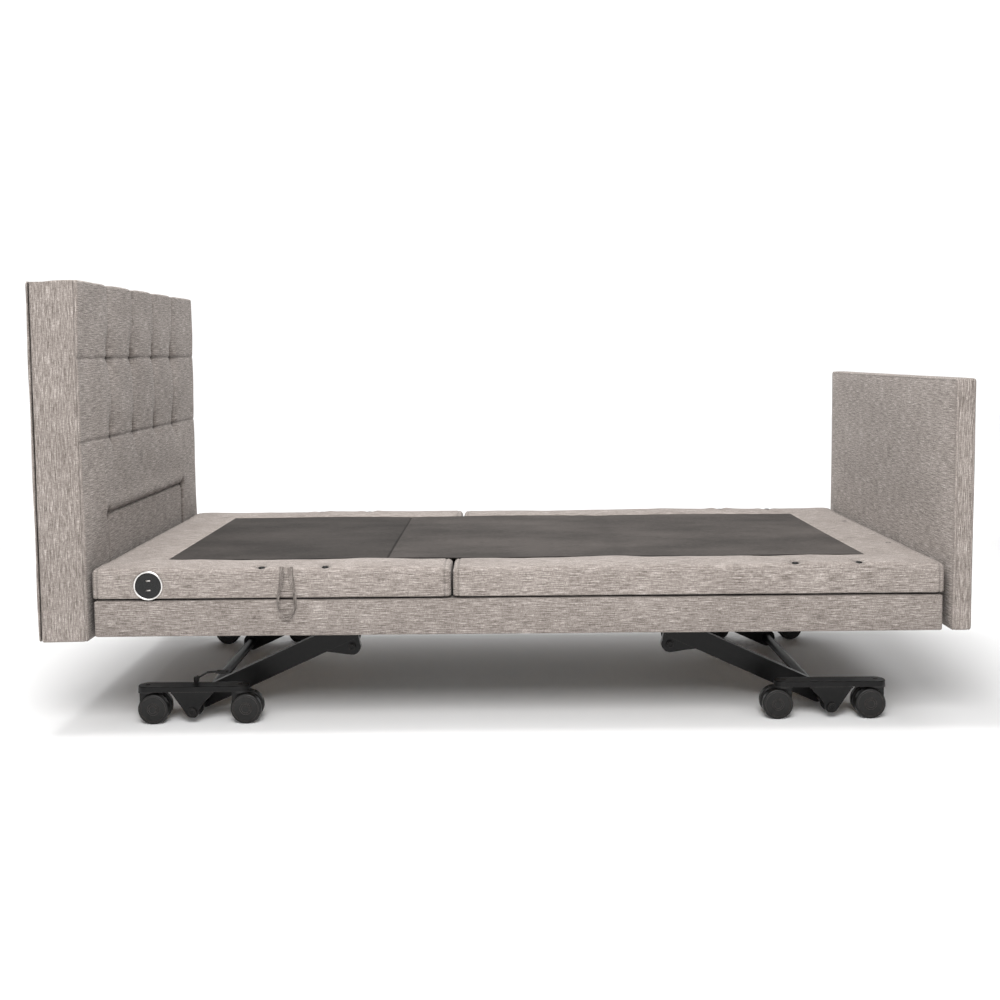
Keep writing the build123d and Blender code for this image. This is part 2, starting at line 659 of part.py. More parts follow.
def brake_lever():
    """A foot lever in a lug on the near head carriage: a bent strip on a cross pin."""
    y1 = -PLATE_Y + PLATE_WIDTH / 2 + BRAKE_OUT
    y0 = y1 - BRAKE_WIDE
    pin = (0, PLATE_TOP + BRAKE_PIN_Z)
    bend = (BRAKE_BEND[0], PLATE_TOP + BRAKE_BEND[1])
    tip = (BRAKE_TIP[0], PLATE_TOP + BRAKE_TIP[1])
    strip = link_y(pin, bend, 2, y0, y1) + link_y(bend, tip, 2, y0, y1)
    strip += block(*PEDAL, y1 - PEDAL_WIDE, y1, tip[1] - 2, tip[1] + 2)
    strip += rod_y(*pin, 2 * BRAKE_PIN_R, y0, y1)
    return strip + rod_y(*pin, BRAKE_PIN_R, y0 - BRAKE_WIDE - 2, y0 + 1)


def brake_lug():
    y1 = -PLATE_Y + PLATE_WIDTH / 2 + BRAKE_OUT - BRAKE_WIDE - 1
    lug = block(-LUG_HALF, LUG_HALF, y1 - BRAKE_WIDE, y1, PLATE_TOP, PLATE_TOP + LUG_HIGH)
    return lug - rod_y(0, PLATE_TOP + BRAKE_PIN_Z, BRAKE_PIN_R + RUN, y1 - 2 * BRAKE_WIDE, y1 + 1)


# ---------------------------------------------------------------- drives


def chord(theta):
    """Pusher travel that follows the crank roller, straight-line between the ends of the range."""
    def roller(angle):
        return CRANK_R * cos(radians(CRANK_ANGLE + angle))
    low, high = roller(DRIVE_STROKE_LOW), roller(DRIVE_STROKE_HIGH)
    share = (theta - DRIVE_STROKE_LOW) / (DRIVE_STROKE_HIGH - DRIVE_STROKE_LOW)
    return low + share * (high - low)


DRIVE_Z = PIVOT_HIGH + DRIVE_OVER_PIVOT
PUSHER_FACE = ARM_RUN + chord(0) + ROLLER_R + PUSHER_GAP


def lift_drive_rod():
    """The pusher runs between the crank's two plates, square to the roller."""
    half, back = ROLLER_W / 2 - PUSHER_GAP, PUSHER_FACE + PUSHER_THICK
    low, high = PIVOT_HIGH + PIN_R - 2, min(PIVOT_HIGH + CRANK_R + ROLLER_R, RAIL_TUBE_TOP)
    pusher = block(PUSHER_FACE, back, -half, half, low, high)
    return pusher + rod_x(0, DRIVE_Z, ROD_R, back, back + PUSH_ROD)


def lift_drive(anchor):
    """A motor that hangs from the member at anchor, with a guide for the push rod."""
    start, end = PUSHER_FACE + PUSHER_THICK + GUIDE_START, anchor + ANCHOR_OVER
    half = DRIVE_BOX / 2
    motor = block(end - MOTOR_LENGTH, end, -half, half, DRIVE_Z - half, DRIVE_Z + half)
    motor = fillet(motor.edges().filter_by(Axis.X), half / 3)
    guide = rod_x(0, DRIVE_Z, GUIDE_R, start, end - MOTOR_LENGTH)
    yoke = block(end - YOKE, end, -YOKE_WIDE / 2, YOKE_WIDE / 2, DRIVE_Z + half - 1, RAIL_TUBE_TOP)
    return motor + guide + yoke - rod_x(0, DRIVE_Z, ROD_R + RUN, start - 1, end - YOKE / 2)


def section_pusher(away):
    """(face, back) of the pusher that meets a section's lever roller."""
    face = SPLIT_X - away * (LEVER_AHEAD + ROLLER_R + PUSHER_GAP)
    return face, face - away * PUSHER_THICK


def section_drive_rod(away, y):
    """Pushes a section's lever. away is the side of the hinge that the section lies on."""
    face, back = section_pusher(away)
    z = HINGE_Z - LEVER_DOWN
    x0, x1 = sorted((face, back))
    pusher = block(x0, x1, y - ROLLER_W, y + ROLLER_W, z - LEVER_R - 4, LONG_LOW - PUSHER_CLEAR)
    x0, x1 = sorted((back, back - away * PUSH_ROD))
    return pusher + rod_x(y, z + 5, ROD_R, x0, x1)


def section_drive(away, y):
    _, back = section_pusher(away)
    start, stop = back - away * SECTION_GUIDE_START, SPLIT_X - away * (SECTION_ANCHOR + MEMBER_WIDE / 2)
    z, half, high = HINGE_Z - LEVER_DOWN + 5, DRIVE_BOX / 2, DRIVE_BOX_HIGH / 2
    split = stop + away * MOTOR_LENGTH
    x0, x1 = sorted((split, stop))
    motor = block(x0, x1, y - half, y + half, z - high, z + high - 2)
    motor = fillet(motor.edges().filter_by(Axis.X), DRIVE_BOX_HIGH / 6)
    guide = rod_x(y, z, GUIDE_R, *sorted((start, split)))
    x0, x1 = sorted((stop, stop + away * YOKE))
    yoke = block(x0, x1, y - YOKE_WIDE / 2, y + YOKE_WIDE / 2, z + high - 3, RAIL_TUBE_TOP)
    x0, x1 = sorted((start, stop + away * YOKE * 2 / 3))
    return motor + guide + yoke - rod_x(y, z, ROD_R + RUN, x0 - 1, x1 + 1)


# ---------------------------------------------------------------- the parts


def build_nodes():
    nodes = {
        "back_border": back_border(),
        "thigh_border": thigh_border(),
        "calf_border": calf_border(),
        "back_frame": section_frame("back", -1, 0, SECTION_DRIVE_Y),
        "thigh_frame": section_frame("thigh", 1, -1, -SECTION_DRIVE_Y),
        "calf_frame": section_frame("calf", 0, 1, 0),
        "usb_insert": usb_insert(),
        "strap": strap(),
        "side_rail_near": side_rail(),
        "side_rail_far": far(side_rail()),
        "headboard_pad": headboard_pad(),
        "headboard_back_panel": headboard_back_panel(),
        "footboard": footboard(),
        "board_brackets": board_brackets(),
        "chassis_frame": chassis_frame(),
        "arm_hangers": arm_hangers(),
        "control_box": control_box(),
        "back_drive": section_drive(-1, SECTION_DRIVE_Y),
        "back_drive_rod": section_drive_rod(-1, SECTION_DRIVE_Y),
        "leg_drive": section_drive(1, -SECTION_DRIVE_Y),
        "leg_drive_rod": section_drive_rod(1, -SECTION_DRIVE_Y),
        "brake_lever": placed(brake_lever(), "head"),
    }
    for section in SPANS:
        nodes[f"{section}_mat"] = mat(section)
        nodes[f"{section}_board"] = board(section)
    for end in BOGIES:
        lugs = [brake_lug()] if end == "head" else []
        nodes[f"{end}_carriage_plates"] = placed(group(carriage_plates(), *lugs), end)
        nodes[f"{end}_pivot_brackets"] = placed(pivot_brackets(), end)
        nodes[f"{end}_carriage_screws"] = placed(carriage_screws(), end)
        nodes[f"{end}_lift_arms"] = placed(lift_arms(), end)
        nodes[f"{end}_cross_tube"] = placed(lift_cross_tube(), end)
        nodes[f"{end}_torque_tube"] = placed(lift_torque_tube(), end)
        nodes[f"{end}_lift_drive"] = placed(lift_drive(ANCHORS[end]), end)
        nodes[f"{end}_lift_drive_rod"] = placed(lift_drive_rod(), end)
        for side, y in (("near", -PLATE_Y), ("far", PLATE_Y)):
            for place, x in (("outer", -STEM_PITCH / 2), ("inner", STEM_PITCH / 2)):
                nodes[f"caster_{end}_{side}_{place}"] = placed(caster_body(x, y), end)
                nodes[f"wheels_{end}_{side}_{place}"] = placed(caster_wheels(x, y), end)
    return nodes


os.makedirs("parts", exist_ok=True)
for name, shape in build_nodes().items():
    export_step(shape, f"parts/{name}.step")
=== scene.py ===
import json
import math

import bpy
import bmesh
import numpy as np
from mathutils import Matrix, Vector, noise


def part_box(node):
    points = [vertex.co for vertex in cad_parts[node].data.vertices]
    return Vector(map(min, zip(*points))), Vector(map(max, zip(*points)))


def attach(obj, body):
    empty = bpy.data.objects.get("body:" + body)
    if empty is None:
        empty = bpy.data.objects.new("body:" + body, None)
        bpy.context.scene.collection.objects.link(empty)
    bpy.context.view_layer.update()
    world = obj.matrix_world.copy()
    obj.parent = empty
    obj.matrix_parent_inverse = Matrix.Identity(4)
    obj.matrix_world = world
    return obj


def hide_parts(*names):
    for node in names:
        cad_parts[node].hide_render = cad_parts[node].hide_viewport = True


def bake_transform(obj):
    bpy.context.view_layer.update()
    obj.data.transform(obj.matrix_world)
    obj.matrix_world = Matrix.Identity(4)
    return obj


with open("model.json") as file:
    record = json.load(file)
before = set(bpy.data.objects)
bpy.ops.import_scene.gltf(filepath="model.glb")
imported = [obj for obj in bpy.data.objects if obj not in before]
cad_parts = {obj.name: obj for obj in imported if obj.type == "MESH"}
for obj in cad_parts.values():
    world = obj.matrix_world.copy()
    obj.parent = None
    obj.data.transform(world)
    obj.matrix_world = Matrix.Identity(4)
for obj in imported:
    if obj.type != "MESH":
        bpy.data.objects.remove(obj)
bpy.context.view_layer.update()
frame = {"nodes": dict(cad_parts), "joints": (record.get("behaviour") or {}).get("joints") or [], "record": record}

# Adjustable bed base: fabric covers, mats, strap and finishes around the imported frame. Metres.

# ---------------------------------------------------------------- places, from the frame

BACK = [np.array(v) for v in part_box("back_border")]
THIGH = [np.array(v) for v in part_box("thigh_border")]
CALF = [np.array(v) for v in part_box("calf_border")]
HEAD_PAD = [np.array(v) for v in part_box("headboard_pad")]
BACK_PANEL = [np.array(v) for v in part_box("headboard_back_panel")]
FOOT_PAD = [np.array(v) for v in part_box("footboard")]
RAIL = [np.array(v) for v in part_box("side_rail_near")]
BACK_MAT = [np.array(v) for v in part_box("back_mat")]
THIGH_MAT = [np.array(v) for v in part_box("thigh_mat")]
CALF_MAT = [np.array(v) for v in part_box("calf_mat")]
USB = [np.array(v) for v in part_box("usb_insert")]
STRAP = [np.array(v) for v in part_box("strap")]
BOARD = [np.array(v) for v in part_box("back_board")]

HEAD_X, FOOT_X = BACK[0][0], CALF[1][0]
SPLIT_X = (BACK[1][0] + THIGH[0][0]) / 2
KNEE_X = (THIGH[1][0] + CALF[0][0]) / 2
DECK_TOP, BAND_LOW = BACK[1][2], BACK[0][2]
MOUNTS = {m["name"]: m for m in frame["record"]["mounts"]}

EDGE = 0.014                    # rounding of the deck covers' edges, and of their lowest edge
LOW_EDGE = 0.005
GRID = 0.009                    # usual distance between a cover's grid lines
END_SEAM = 0.013                # from a section's end to the seam round it
MAT_THICK = 0.0016
MAT_LIFT = 0.0030               # a mat's top over the cover's middle
COVER_DROP = 0.0032             # the cover's middle under the deck's top
SPLIT_PUFF = 0.0015             # each section's bulge into the gap between them
MAT_SEAM_X = HEAD_X + 0.695
SOCKET_HALF_PITCH = 0.076
USB_SEAT, USB_FADE = 0.052, 0.014
THREAD_SIDES = 6
RING_STEPS = 72


# ---------------------------------------------------------------- mesh helpers


def link(mesh, name):
    obj = bpy.data.objects.new(name, mesh)
    bpy.context.scene.collection.objects.link(obj)
    return obj


def smooth(mesh):
    mesh.polygons.foreach_set("use_smooth", [True] * len(mesh.polygons))


def finish_mesh(bm, name):
    """The finished mesh of a bmesh, with its faces turned outward."""
    bmesh.ops.recalc_face_normals(bm, faces=bm.faces)
    mesh = bpy.data.meshes.new(name)
    bm.to_mesh(mesh)
    bm.free()
    return mesh


def steps(low, high, radii, step, fine=()):
    """Grid lines along one side of a box: close together in the rounded edges and at fine places."""
    inner_low, inner_high = low + radii[0], high - radii[1]
    count = max(1, int(round((inner_high - inner_low) / step)))
    line = list(np.linspace(inner_low, inner_high, count + 1))
    shares = (0.0, 0.3, 0.6, 0.82)
    line += [low + radii[0] * s for s in shares] + [high - radii[1] * s for s in shares]
    for place in fine:
        line += [place + d for d in (-0.005, -0.003, -0.0015, 0.0, 0.0015, 0.003, 0.005)]
    line = sorted(set(round(v, 5) for v in line if low <= v <= high))
    kept = [line[0]]
    for v in line[1:]:
        if v - kept[-1] > 0.0009:
            kept.append(v)
    kept[-1] = line[-1]
    return np.array(kept)


def pad_mesh(name, low, high, r, step=GRID, fine=((), (), ()), grain=(0, 0, 0), shape=None, recess=None):
    """A closed rounded box of even quads. r is one radius, or (low side, high side) for X, Y and Z.
    shape(points, outward) gives the moved points and how much painted shade each gets. grain says, for the faces
    square to X, Y and Z, whether the weave runs the other way. recess is (low, high, ceiling): a hollow
    in the underside."""
    radii = np.array(r if hasattr(r, "__len__") else [[r, r]] * 3, float)
    low, high = np.array(low, float), np.array(high, float)
    lines = [steps(low[a], high[a], radii[a], step, fine[a]) for a in range(3)]
    points, faces, sides = [], [], []
    for axis in range(3):
        u_axis, v_axis = [a for a in range(3) if a != axis]
        u_line, v_line = lines[u_axis], lines[v_axis]
        for side, level in ((-1, low[axis]), (1, high[axis])):
            base = len(points)
            for v in v_line:
                for u in u_line:
                    p = [0.0, 0.0, 0.0]
                    p[axis], p[u_axis], p[v_axis] = level, u, v
                    points.append(p)
            wide = len(u_line)
            flip = (side < 0) != (axis == 1)
            for j in range(len(v_line) - 1):
                for i in range(wide - 1):
                    a = base + j * wide + i
                    quad = (a, a + 1, a + wide + 1, a + wide)
                    if recess and axis == 2 and side < 0:
                        cu, cv = (u_line[i] + u_line[i + 1]) / 2, (v_line[j] + v_line[j + 1]) / 2
                        if recess[0][0] < cu < recess[1][0] and recess[0][1] < cv < recess[1][1]:
                            continue
                    faces.append(quad[::-1] if flip else quad)
                    sides.append(axis)
    points = np.array(points)
    _, first, back = np.unique(np.round(points, 5), axis=0, return_index=True, return_inverse=True)
    points, back = points[first], back.reshape(-1)
    inner = np.clip(points, low + radii[:, 0], high - radii[:, 1])
    away = points - inner
    reach = np.where(away < 0, radii[:, 0], radii[:, 1])
    unit = away / np.maximum(reach, 1e-9)
    outward = unit / np.maximum(np.linalg.norm(unit, axis=1, keepdims=True), 1e-9)
    flat = points.copy()
    points = inner + outward * reach
    # crease holds each point's painted shade: how much darker its cloth colour is drawn.
    crease = np.zeros(len(points))
    if shape:
        points, crease = shape(points, outward)
    mesh = bpy.data.meshes.new(name)
    mesh.from_pydata(points.tolist(), [], [[int(back[k]) for k in f] for f in faces])
    store_painted_shade(mesh, crease)
    layer = mesh.uv_layers.new(name="weave")
    loops = np.zeros(len(mesh.loops), int)
    mesh.loops.foreach_get("vertex_index", loops)
    uv = np.zeros((len(loops), 2))
    face_axis = np.repeat(np.array(sides), 4)
    for axis in range(3):
        pick = face_axis == axis
        u_axis, v_axis = [a for a in range(3) if a != axis]
        pair = flat[loops[pick]][:, [u_axis, v_axis]]
        uv[pick] = pair[:, ::-1] if grain[axis] else pair
    layer.data.foreach_set("uv", uv.reshape(-1))
    smooth(mesh)
    obj = link(mesh, name)
    if recess:
        close_recess(mesh, recess[2])
    return obj


# Stores the painted shade per point, as the mesh attribute named crease.
def store_painted_shade(mesh, values):
    layer = mesh.attributes.new("crease", "FLOAT", "POINT")
    layer.data.foreach_set("value", np.clip(values, 0, 1).astype(np.float32))


def close_recess(mesh, ceiling):
    """Walls and a ceiling for the hollow left in a cover's underside, where its board and tubes lie."""
    bm = bmesh.new()
    bm.from_mesh(mesh)
    rim = [e for e in bm.edges if e.is_boundary]
    made = bmesh.ops.extrude_edge_only(bm, edges=rim)["geom"]
    for v in (g for g in made if isinstance(g, bmesh.types.BMVert)):
        v.co.z = ceiling
    bmesh.ops.holes_fill(bm, edges=[e for e in bm.edges if e.is_boundary])
    bmesh.ops.recalc_face_normals(bm, faces=bm.faces)
    bm.to_mesh(mesh)
    bm.free()


def soft_noise(points, scale, seed):
    """Smooth noise from -1 to 1 at each point."""
    shift = Vector((seed * 7.31, seed * 3.17, seed * 1.93))
    return np.array([noise.noise(Vector(p) * scale + shift) for p in points.tolist()])


def bell(distance, width):
    return np.exp(-((distance / width) ** 2))


def sheet_mesh(name, xs, ys, height, thick, crease):
    """A closed thin cloth over a grid, with its top at height(x, y) and its painted shade at crease(x, y)."""
    gx, gy = np.meshgrid(xs, ys)
    top = height(gx, gy)
    count = gx.size
    flat = np.stack([gx.ravel(), gy.ravel(), top.ravel()], 1)
    low = flat.copy()
    low[:, 2] -= thick
    wide, deep = len(xs), len(ys)
    faces = []
    for j in range(deep - 1):
        for i in range(wide - 1):
            a = j * wide + i
            faces.append((a, a + 1, a + wide + 1, a + wide))
            faces.append((count + a, count + a + wide, count + a + wide + 1, count + a + 1))
    rim = list(range(wide)) + [j * wide + wide - 1 for j in range(1, deep)]
    rim += [(deep - 1) * wide + i for i in range(wide - 2, -1, -1)]
    rim += [j * wide for j in range(deep - 2, 0, -1)]
    for k, a in enumerate(rim):
        b = rim[(k + 1) % len(rim)]
        faces.append((b, a, count + a, count + b))
    mesh = bpy.data.meshes.new(name)
    mesh.from_pydata(np.concatenate([flat, low]).tolist(), [], faces)
    store_painted_shade(mesh, np.tile(crease(gx, gy).ravel(), 2))
    layer = mesh.uv_layers.new(name="weave")
    co = np.concatenate([flat, low])[:, :2]
    loops = np.zeros(len(mesh.loops), int)
    mesh.loops.foreach_get("vertex_index", loops)
    layer.data.foreach_set("uv", co[loops].reshape(-1))
    smooth(mesh)
    mesh.set_sharp_from_angle(angle=math.radians(55))
    return link(mesh, name)


def lathe(name, profile, at, direction, segments):
    """A turned piece: profile is (radius, height) pairs along direction from at."""
    bm = bmesh.new()
    turn = Vector((0, 0, 1)).rotation_difference(Vector(direction)).to_matrix()
    rings = []
    for radius, height in profile:
        ring = []
        for k in range(segments):
            angle = 2 * math.pi * k / segments
            p = Vector((radius * math.cos(angle), radius * math.sin(angle), height))
            ring.append(bm.verts.new(turn @ p + Vector(at)))
        rings.append(ring)
    for a, b in zip(rings, rings[1:]):
        for k in range(segments):
            n = (k + 1) % segments
            bm.faces.new((a[k], a[n], b[n], b[k]))
    bm.faces.new(rings[0][::-1])
    bm.faces.new(rings[-1])
    mesh = finish_mesh(bm, name)
    for p in mesh.polygons:
        p.use_smooth = len(p.vertices) == 4
    mesh.set_sharp_from_angle(angle=math.radians(40))
    return link(mesh, name)


# ---------------------------------------------------------------- materials


def new_material(name):
    mat = bpy.data.materials.new(name)
    mat.use_nodes = True
    nodes, links = mat.node_tree.nodes, mat.node_tree.links
    return mat, nodes, links, nodes["Principled BSDF"]


def weave_source(nodes):
    uv = nodes.new("ShaderNodeUVMap")
    uv.uv_map = "weave"
    return uv.outputs["UV"]


def stretched_noise(nodes, links, source, scale, detail, seed):
    place = nodes.new("ShaderNodeMapping")
    place.inputs["Scale"].default_value = scale
    place.inputs["Location"].default_value = (seed, seed * 0.7, 0)
    links.new(source, place.inputs["Vector"])
    tex = nodes.new("ShaderNodeTexNoise")
    tex.inputs["Scale"].default_value = 1.0
    tex.inputs["Detail"].default_value = detail
    tex.inputs["Roughness"].default_value = 0.62
    links.new(place.outputs["Vector"], tex.inputs["Vector"])
    return tex.outputs["Fac"]


def math_node(nodes, links, kind, a, b):
    node = nodes.new("ShaderNodeMath")
    node.operation = kind
    for socket, value in zip(node.inputs, (a, b)):
        if isinstance(value, (int, float)):
            socket.default_value = value
        else:
            links.new(value, socket)
    return node.outputs[0]


def mixed(nodes, links, parts):
    """The sum of each part times its share."""
    total = None
    for part, share in parts:
        scaled = math_node(nodes, links, "MULTIPLY", part, share)
        total = math_node(nodes, links, "ADD", total, scaled) if total else scaled
    return total


def ramp_node(nodes, links, source, stops):
    """Colours along a value: stops are (place, colour), the first and last being the ends."""
    ramp = nodes.new("ShaderNodeValToRGB")
    for element, (place, colour) in zip(ramp.color_ramp.elements, (stops[0], stops[-1])):
        element.position = place
        element.color = (*colour, 1)
    for place, colour in stops[1:-1]:
        ramp.color_ramp.elements.new(place).color = (*colour, 1)
    links.new(source, ramp.inputs["Fac"])
    return ramp.outputs["Color"]


def add_bump(nodes, links, bsdf, height, strength, distance):
    bump = nodes.new("ShaderNodeBump")
    bump.inputs["Strength"].default_value = strength
    bump.inputs["Distance"].default_value = distance
    links.new(height, bump.inputs["Height"])
    links.new(bump.outputs["Normal"], bsdf.inputs["Normal"])


def apply_painted_shade(nodes, links, colour, share):
    """The colour with painted shade: darker where the mesh's crease attribute puts shade, in grooves, tucks and
    seams and on shaded areas.
    """
    crease = nodes.new("ShaderNodeAttribute")
    crease.attribute_name = "crease"
    loss = math_node(nodes, links, "MULTIPLY", crease.outputs["Fac"], share)
    scaled = nodes.new("ShaderNodeVectorMath")
    scaled.operation = "SCALE"
    links.new(colour, scaled.inputs[0])
    links.new(math_node(nodes, links, "SUBTRACT", 1.0, loss), scaled.inputs["Scale"])
    return scaled.outputs["Vector"]


def linen(name, dark, middle, light, contrast=1.0):
    """Slubby linen-look weave: long thick-and-thin yarns one way, finer cross yarns the other."""
    mat, nodes, links, bsdf = new_material(name)
    source = weave_source(nodes)
    along = stretched_noise(nodes, links, source, (26, 520, 1), 4.0, 3.1)
    slubs = stretched_noise(nodes, links, source, (110, 520, 1), 3.0, 6.3)
    across = stretched_noise(nodes, links, source, (760, 80, 1), 3.0, 8.4)
    grain = stretched_noise(nodes, links, source, (900, 1000, 1), 2.0, 1.7)
    cloud = stretched_noise(nodes, links, source, (6, 9, 1), 2.0, 5.2)
    mix = mixed(nodes, links, ((along, 0.36), (slubs, 0.17), (across, 0.15), (grain, 0.24), (cloud, 0.05)))
    half = 0.098 / contrast
    colour = ramp_node(nodes, links, mix, ((0.5 - half, dark), (0.5, middle), (0.5 + half, light)))
    links.new(apply_painted_shade(nodes, links, colour, 0.85), bsdf.inputs["Base Color"])
    add_bump(nodes, links, bsdf, mix, 0.5, 0.0010)
    rough = math_node(nodes, links, "ADD", math_node(nodes, links, "MULTIPLY", across, 0.15), 0.80)
    links.new(rough, bsdf.inputs["Roughness"])
    bsdf.inputs["Specular IOR Level"].default_value = 0.2
    bsdf.inputs["Sheen Weight"].default_value = 0.06
    bsdf.inputs["Sheen Roughness"].default_value = 0.5
    return mat


def mat_cloth():
    """Dark non-slip cloth: fine ribs with a faint lengthwise shading."""
    mat, nodes, links, bsdf = new_material("mat_cloth")
    source = weave_source(nodes)
    ribs = stretched_noise(nodes, links, source, (60, 700, 1), 3.0, 2.2)
    grain = stretched_noise(nodes, links, source, (1100, 1100, 1), 2.0, 4.9)
    cloud = stretched_noise(nodes, links, source, (3, 5, 1), 3.0, 9.1)
    mix = mixed(nodes, links, ((ribs, 0.4), (grain, 0.3), (cloud, 0.3)))
    colour = ramp_node(nodes, links, mix, ((0.42, (0.027, 0.024, 0.022)), (0.60, (0.082, 0.072, 0.066))))
    links.new(apply_painted_shade(nodes, links, colour, 1.0), bsdf.inputs["Base Color"])
    add_bump(nodes, links, bsdf, mix, 0.3, 0.0005)
    bsdf.inputs["Roughness"].default_value = 0.9
    bsdf.inputs["Specular IOR Level"].default_value = 0.08
    bsdf.inputs["Sheen Weight"].default_value = 0.02
    bsdf.inputs["Sheen Roughness"].default_value = 0.5
    return mat


def hard(name, dark, light, rough_low, rough_high, metallic=0.0, scale=60.0, bump=0.0002, edge_highlight=None,
         gloss=0.3):
    """Paint, plastic, rubber or bare metal: mottled colour and gloss, with a lighter colour painted on the edges
    as a highlight if one is given.
    """
    mat, nodes, links, bsdf = new_material(name)
    coords = nodes.new("ShaderNodeTexCoord").outputs["Object"]
    spots = stretched_noise(nodes, links, coords, (scale, scale, scale), 4.0, 1.3)
    fine = stretched_noise(nodes, links, coords, (scale * 14,) * 3, 2.0, 6.6)
    colour = ramp_node(nodes, links, spots, ((0.35, dark), (0.7, light)))
    # Painted highlight: rounded edges, found by comparing a bevel normal with the true normal, are drawn in a
    # lighter colour.
    if edge_highlight:
        geometry = nodes.new("ShaderNodeNewGeometry")
        bevel = nodes.new("ShaderNodeBevel")
        bevel.samples = 4
        bevel.inputs["Radius"].default_value = 0.0016
        turned = nodes.new("ShaderNodeVectorMath")
        turned.operation = "DOT_PRODUCT"
        links.new(bevel.outputs["Normal"], turned.inputs[0])
        links.new(geometry.outputs["Normal"], turned.inputs[1])
        edge = nodes.new("ShaderNodeMapRange")
        edge.inputs["From Min"].default_value = 0.99
        edge.inputs["From Max"].default_value = 0.80
        links.new(turned.outputs["Value"], edge.inputs["Value"])
        highlighted = math_node(nodes, links, "MULTIPLY", edge.outputs["Result"], spots)
        blend = nodes.new("ShaderNodeMix")
        blend.data_type = "RGBA"
        links.new(highlighted, blend.inputs["Factor"])
        links.new(colour, blend.inputs[6])
        blend.inputs[7].default_value = (*edge_highlight, 1)
        colour = blend.outputs[2]
    links.new(colour, bsdf.inputs["Base Color"])
    span = math_node(nodes, links, "MULTIPLY", spots, rough_high - rough_low)
    links.new(math_node(nodes, links, "ADD", span, rough_low), bsdf.inputs["Roughness"])
    add_bump(nodes, links, bsdf, fine, 0.35, bump)
    bsdf.inputs["Metallic"].default_value = metallic
    bsdf.inputs["Specular IOR Level"].default_value = gloss
    return mat


def plywood():
    mat, nodes, links, bsdf = new_material("plywood")
    coords = nodes.new("ShaderNodeTexCoord").outputs["Object"]
    grain = stretched_noise(nodes, links, coords, (3, 60, 60), 5.0, 2.0)
    pores = stretched_noise(nodes, links, coords, (30, 500, 500), 2.0, 7.0)
    mix = mixed(nodes, links, ((grain, 0.75), (pores, 0.25)))
    colour = ramp_node(nodes, links, mix, ((0.35, (0.36, 0.22, 0.11)), (0.65, (0.58, 0.42, 0.25))))
    links.new(colour, bsdf.inputs["Base Color"])
    add_bump(nodes, links, bsdf, mix, 0.25, 0.0004)
    bsdf.inputs["Roughness"].default_value = 0.62
    return mat


LINEN = linen("linen", (0.076, 0.062, 0.053), (0.248, 0.216, 0.196), (0.575, 0.528, 0.492))
LINEN_BACK = linen("linen_back", (0.05, 0.045, 0.04), (0.10, 0.09, 0.08), (0.17, 0.155, 0.14))
WEBBING = linen("webbing", (0.06, 0.050, 0.044), (0.17, 0.148, 0.134), (0.40, 0.36, 0.33), 1.2)
MAT = mat_cloth()
SEAM = hard("seam_thread", (0.020, 0.017, 0.015), (0.036, 0.031, 0.027), 0.85, 0.95, scale=300, gloss=0.05)
# Black steel and wheel rubber get a lighter colour painted on their edges as a highlight.
STEEL = hard("black_steel", (0.0018, 0.0017, 0.0017), (0.0046, 0.0044, 0.0044), 0.32, 0.48,
             edge_highlight=(0.080, 0.072, 0.066), gloss=0.20)
ROD = hard("bright_steel", (0.42, 0.41, 0.40), (0.60, 0.59, 0.58), 0.15, 0.32, metallic=1.0, scale=90)
RING = hard("satin_ring", (0.62, 0.60, 0.58), (0.78, 0.76, 0.74), 0.22, 0.36, metallic=1.0, scale=120)
RUBBER = hard("wheel_rubber", (0.0035, 0.0033, 0.0031), (0.0095, 0.0088, 0.0082), 0.30, 0.48, scale=90,
              bump=0.0003, edge_highlight=(0.150, 0.130, 0.118), gloss=0.32)
PLASTIC = hard("caster_plastic", (0.0055, 0.0053, 0.0052), (0.012, 0.0115, 0.011), 0.38, 0.6, scale=70)
DRIVE = hard("drive_plastic", (0.008, 0.008, 0.008), (0.015, 0.015, 0.015), 0.45, 0.65, scale=50)
GLOSS = hard("gloss_black", (0.004, 0.004, 0.004), (0.008, 0.008, 0.008), 0.2, 0.34, scale=80)
PLY = plywood()
FINISH = {"black_steel": STEEL, "bright_steel": ROD, "wheel_rubber": RUBBER, "caster_plastic": PLASTIC,
          "drive_plastic": DRIVE, "gloss_black": GLOSS, "plywood": PLY, "back_cloth": LINEN_BACK}


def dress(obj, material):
    obj.data.materials.clear()
    obj.data.materials.append(material)


# ---------------------------------------------------------------- deck covers and mats


def deck_height(x, y):
    """How the deck's soft top waves: a few millimetres, the same for covers and mats."""
    wave = 0.0012 * np.sin(x * 5.1 + 1.3) * np.cos(y * 4.0) + 0.0009 * np.sin(x * 11.7 + y * 3.0)
    return wave - 0.0008


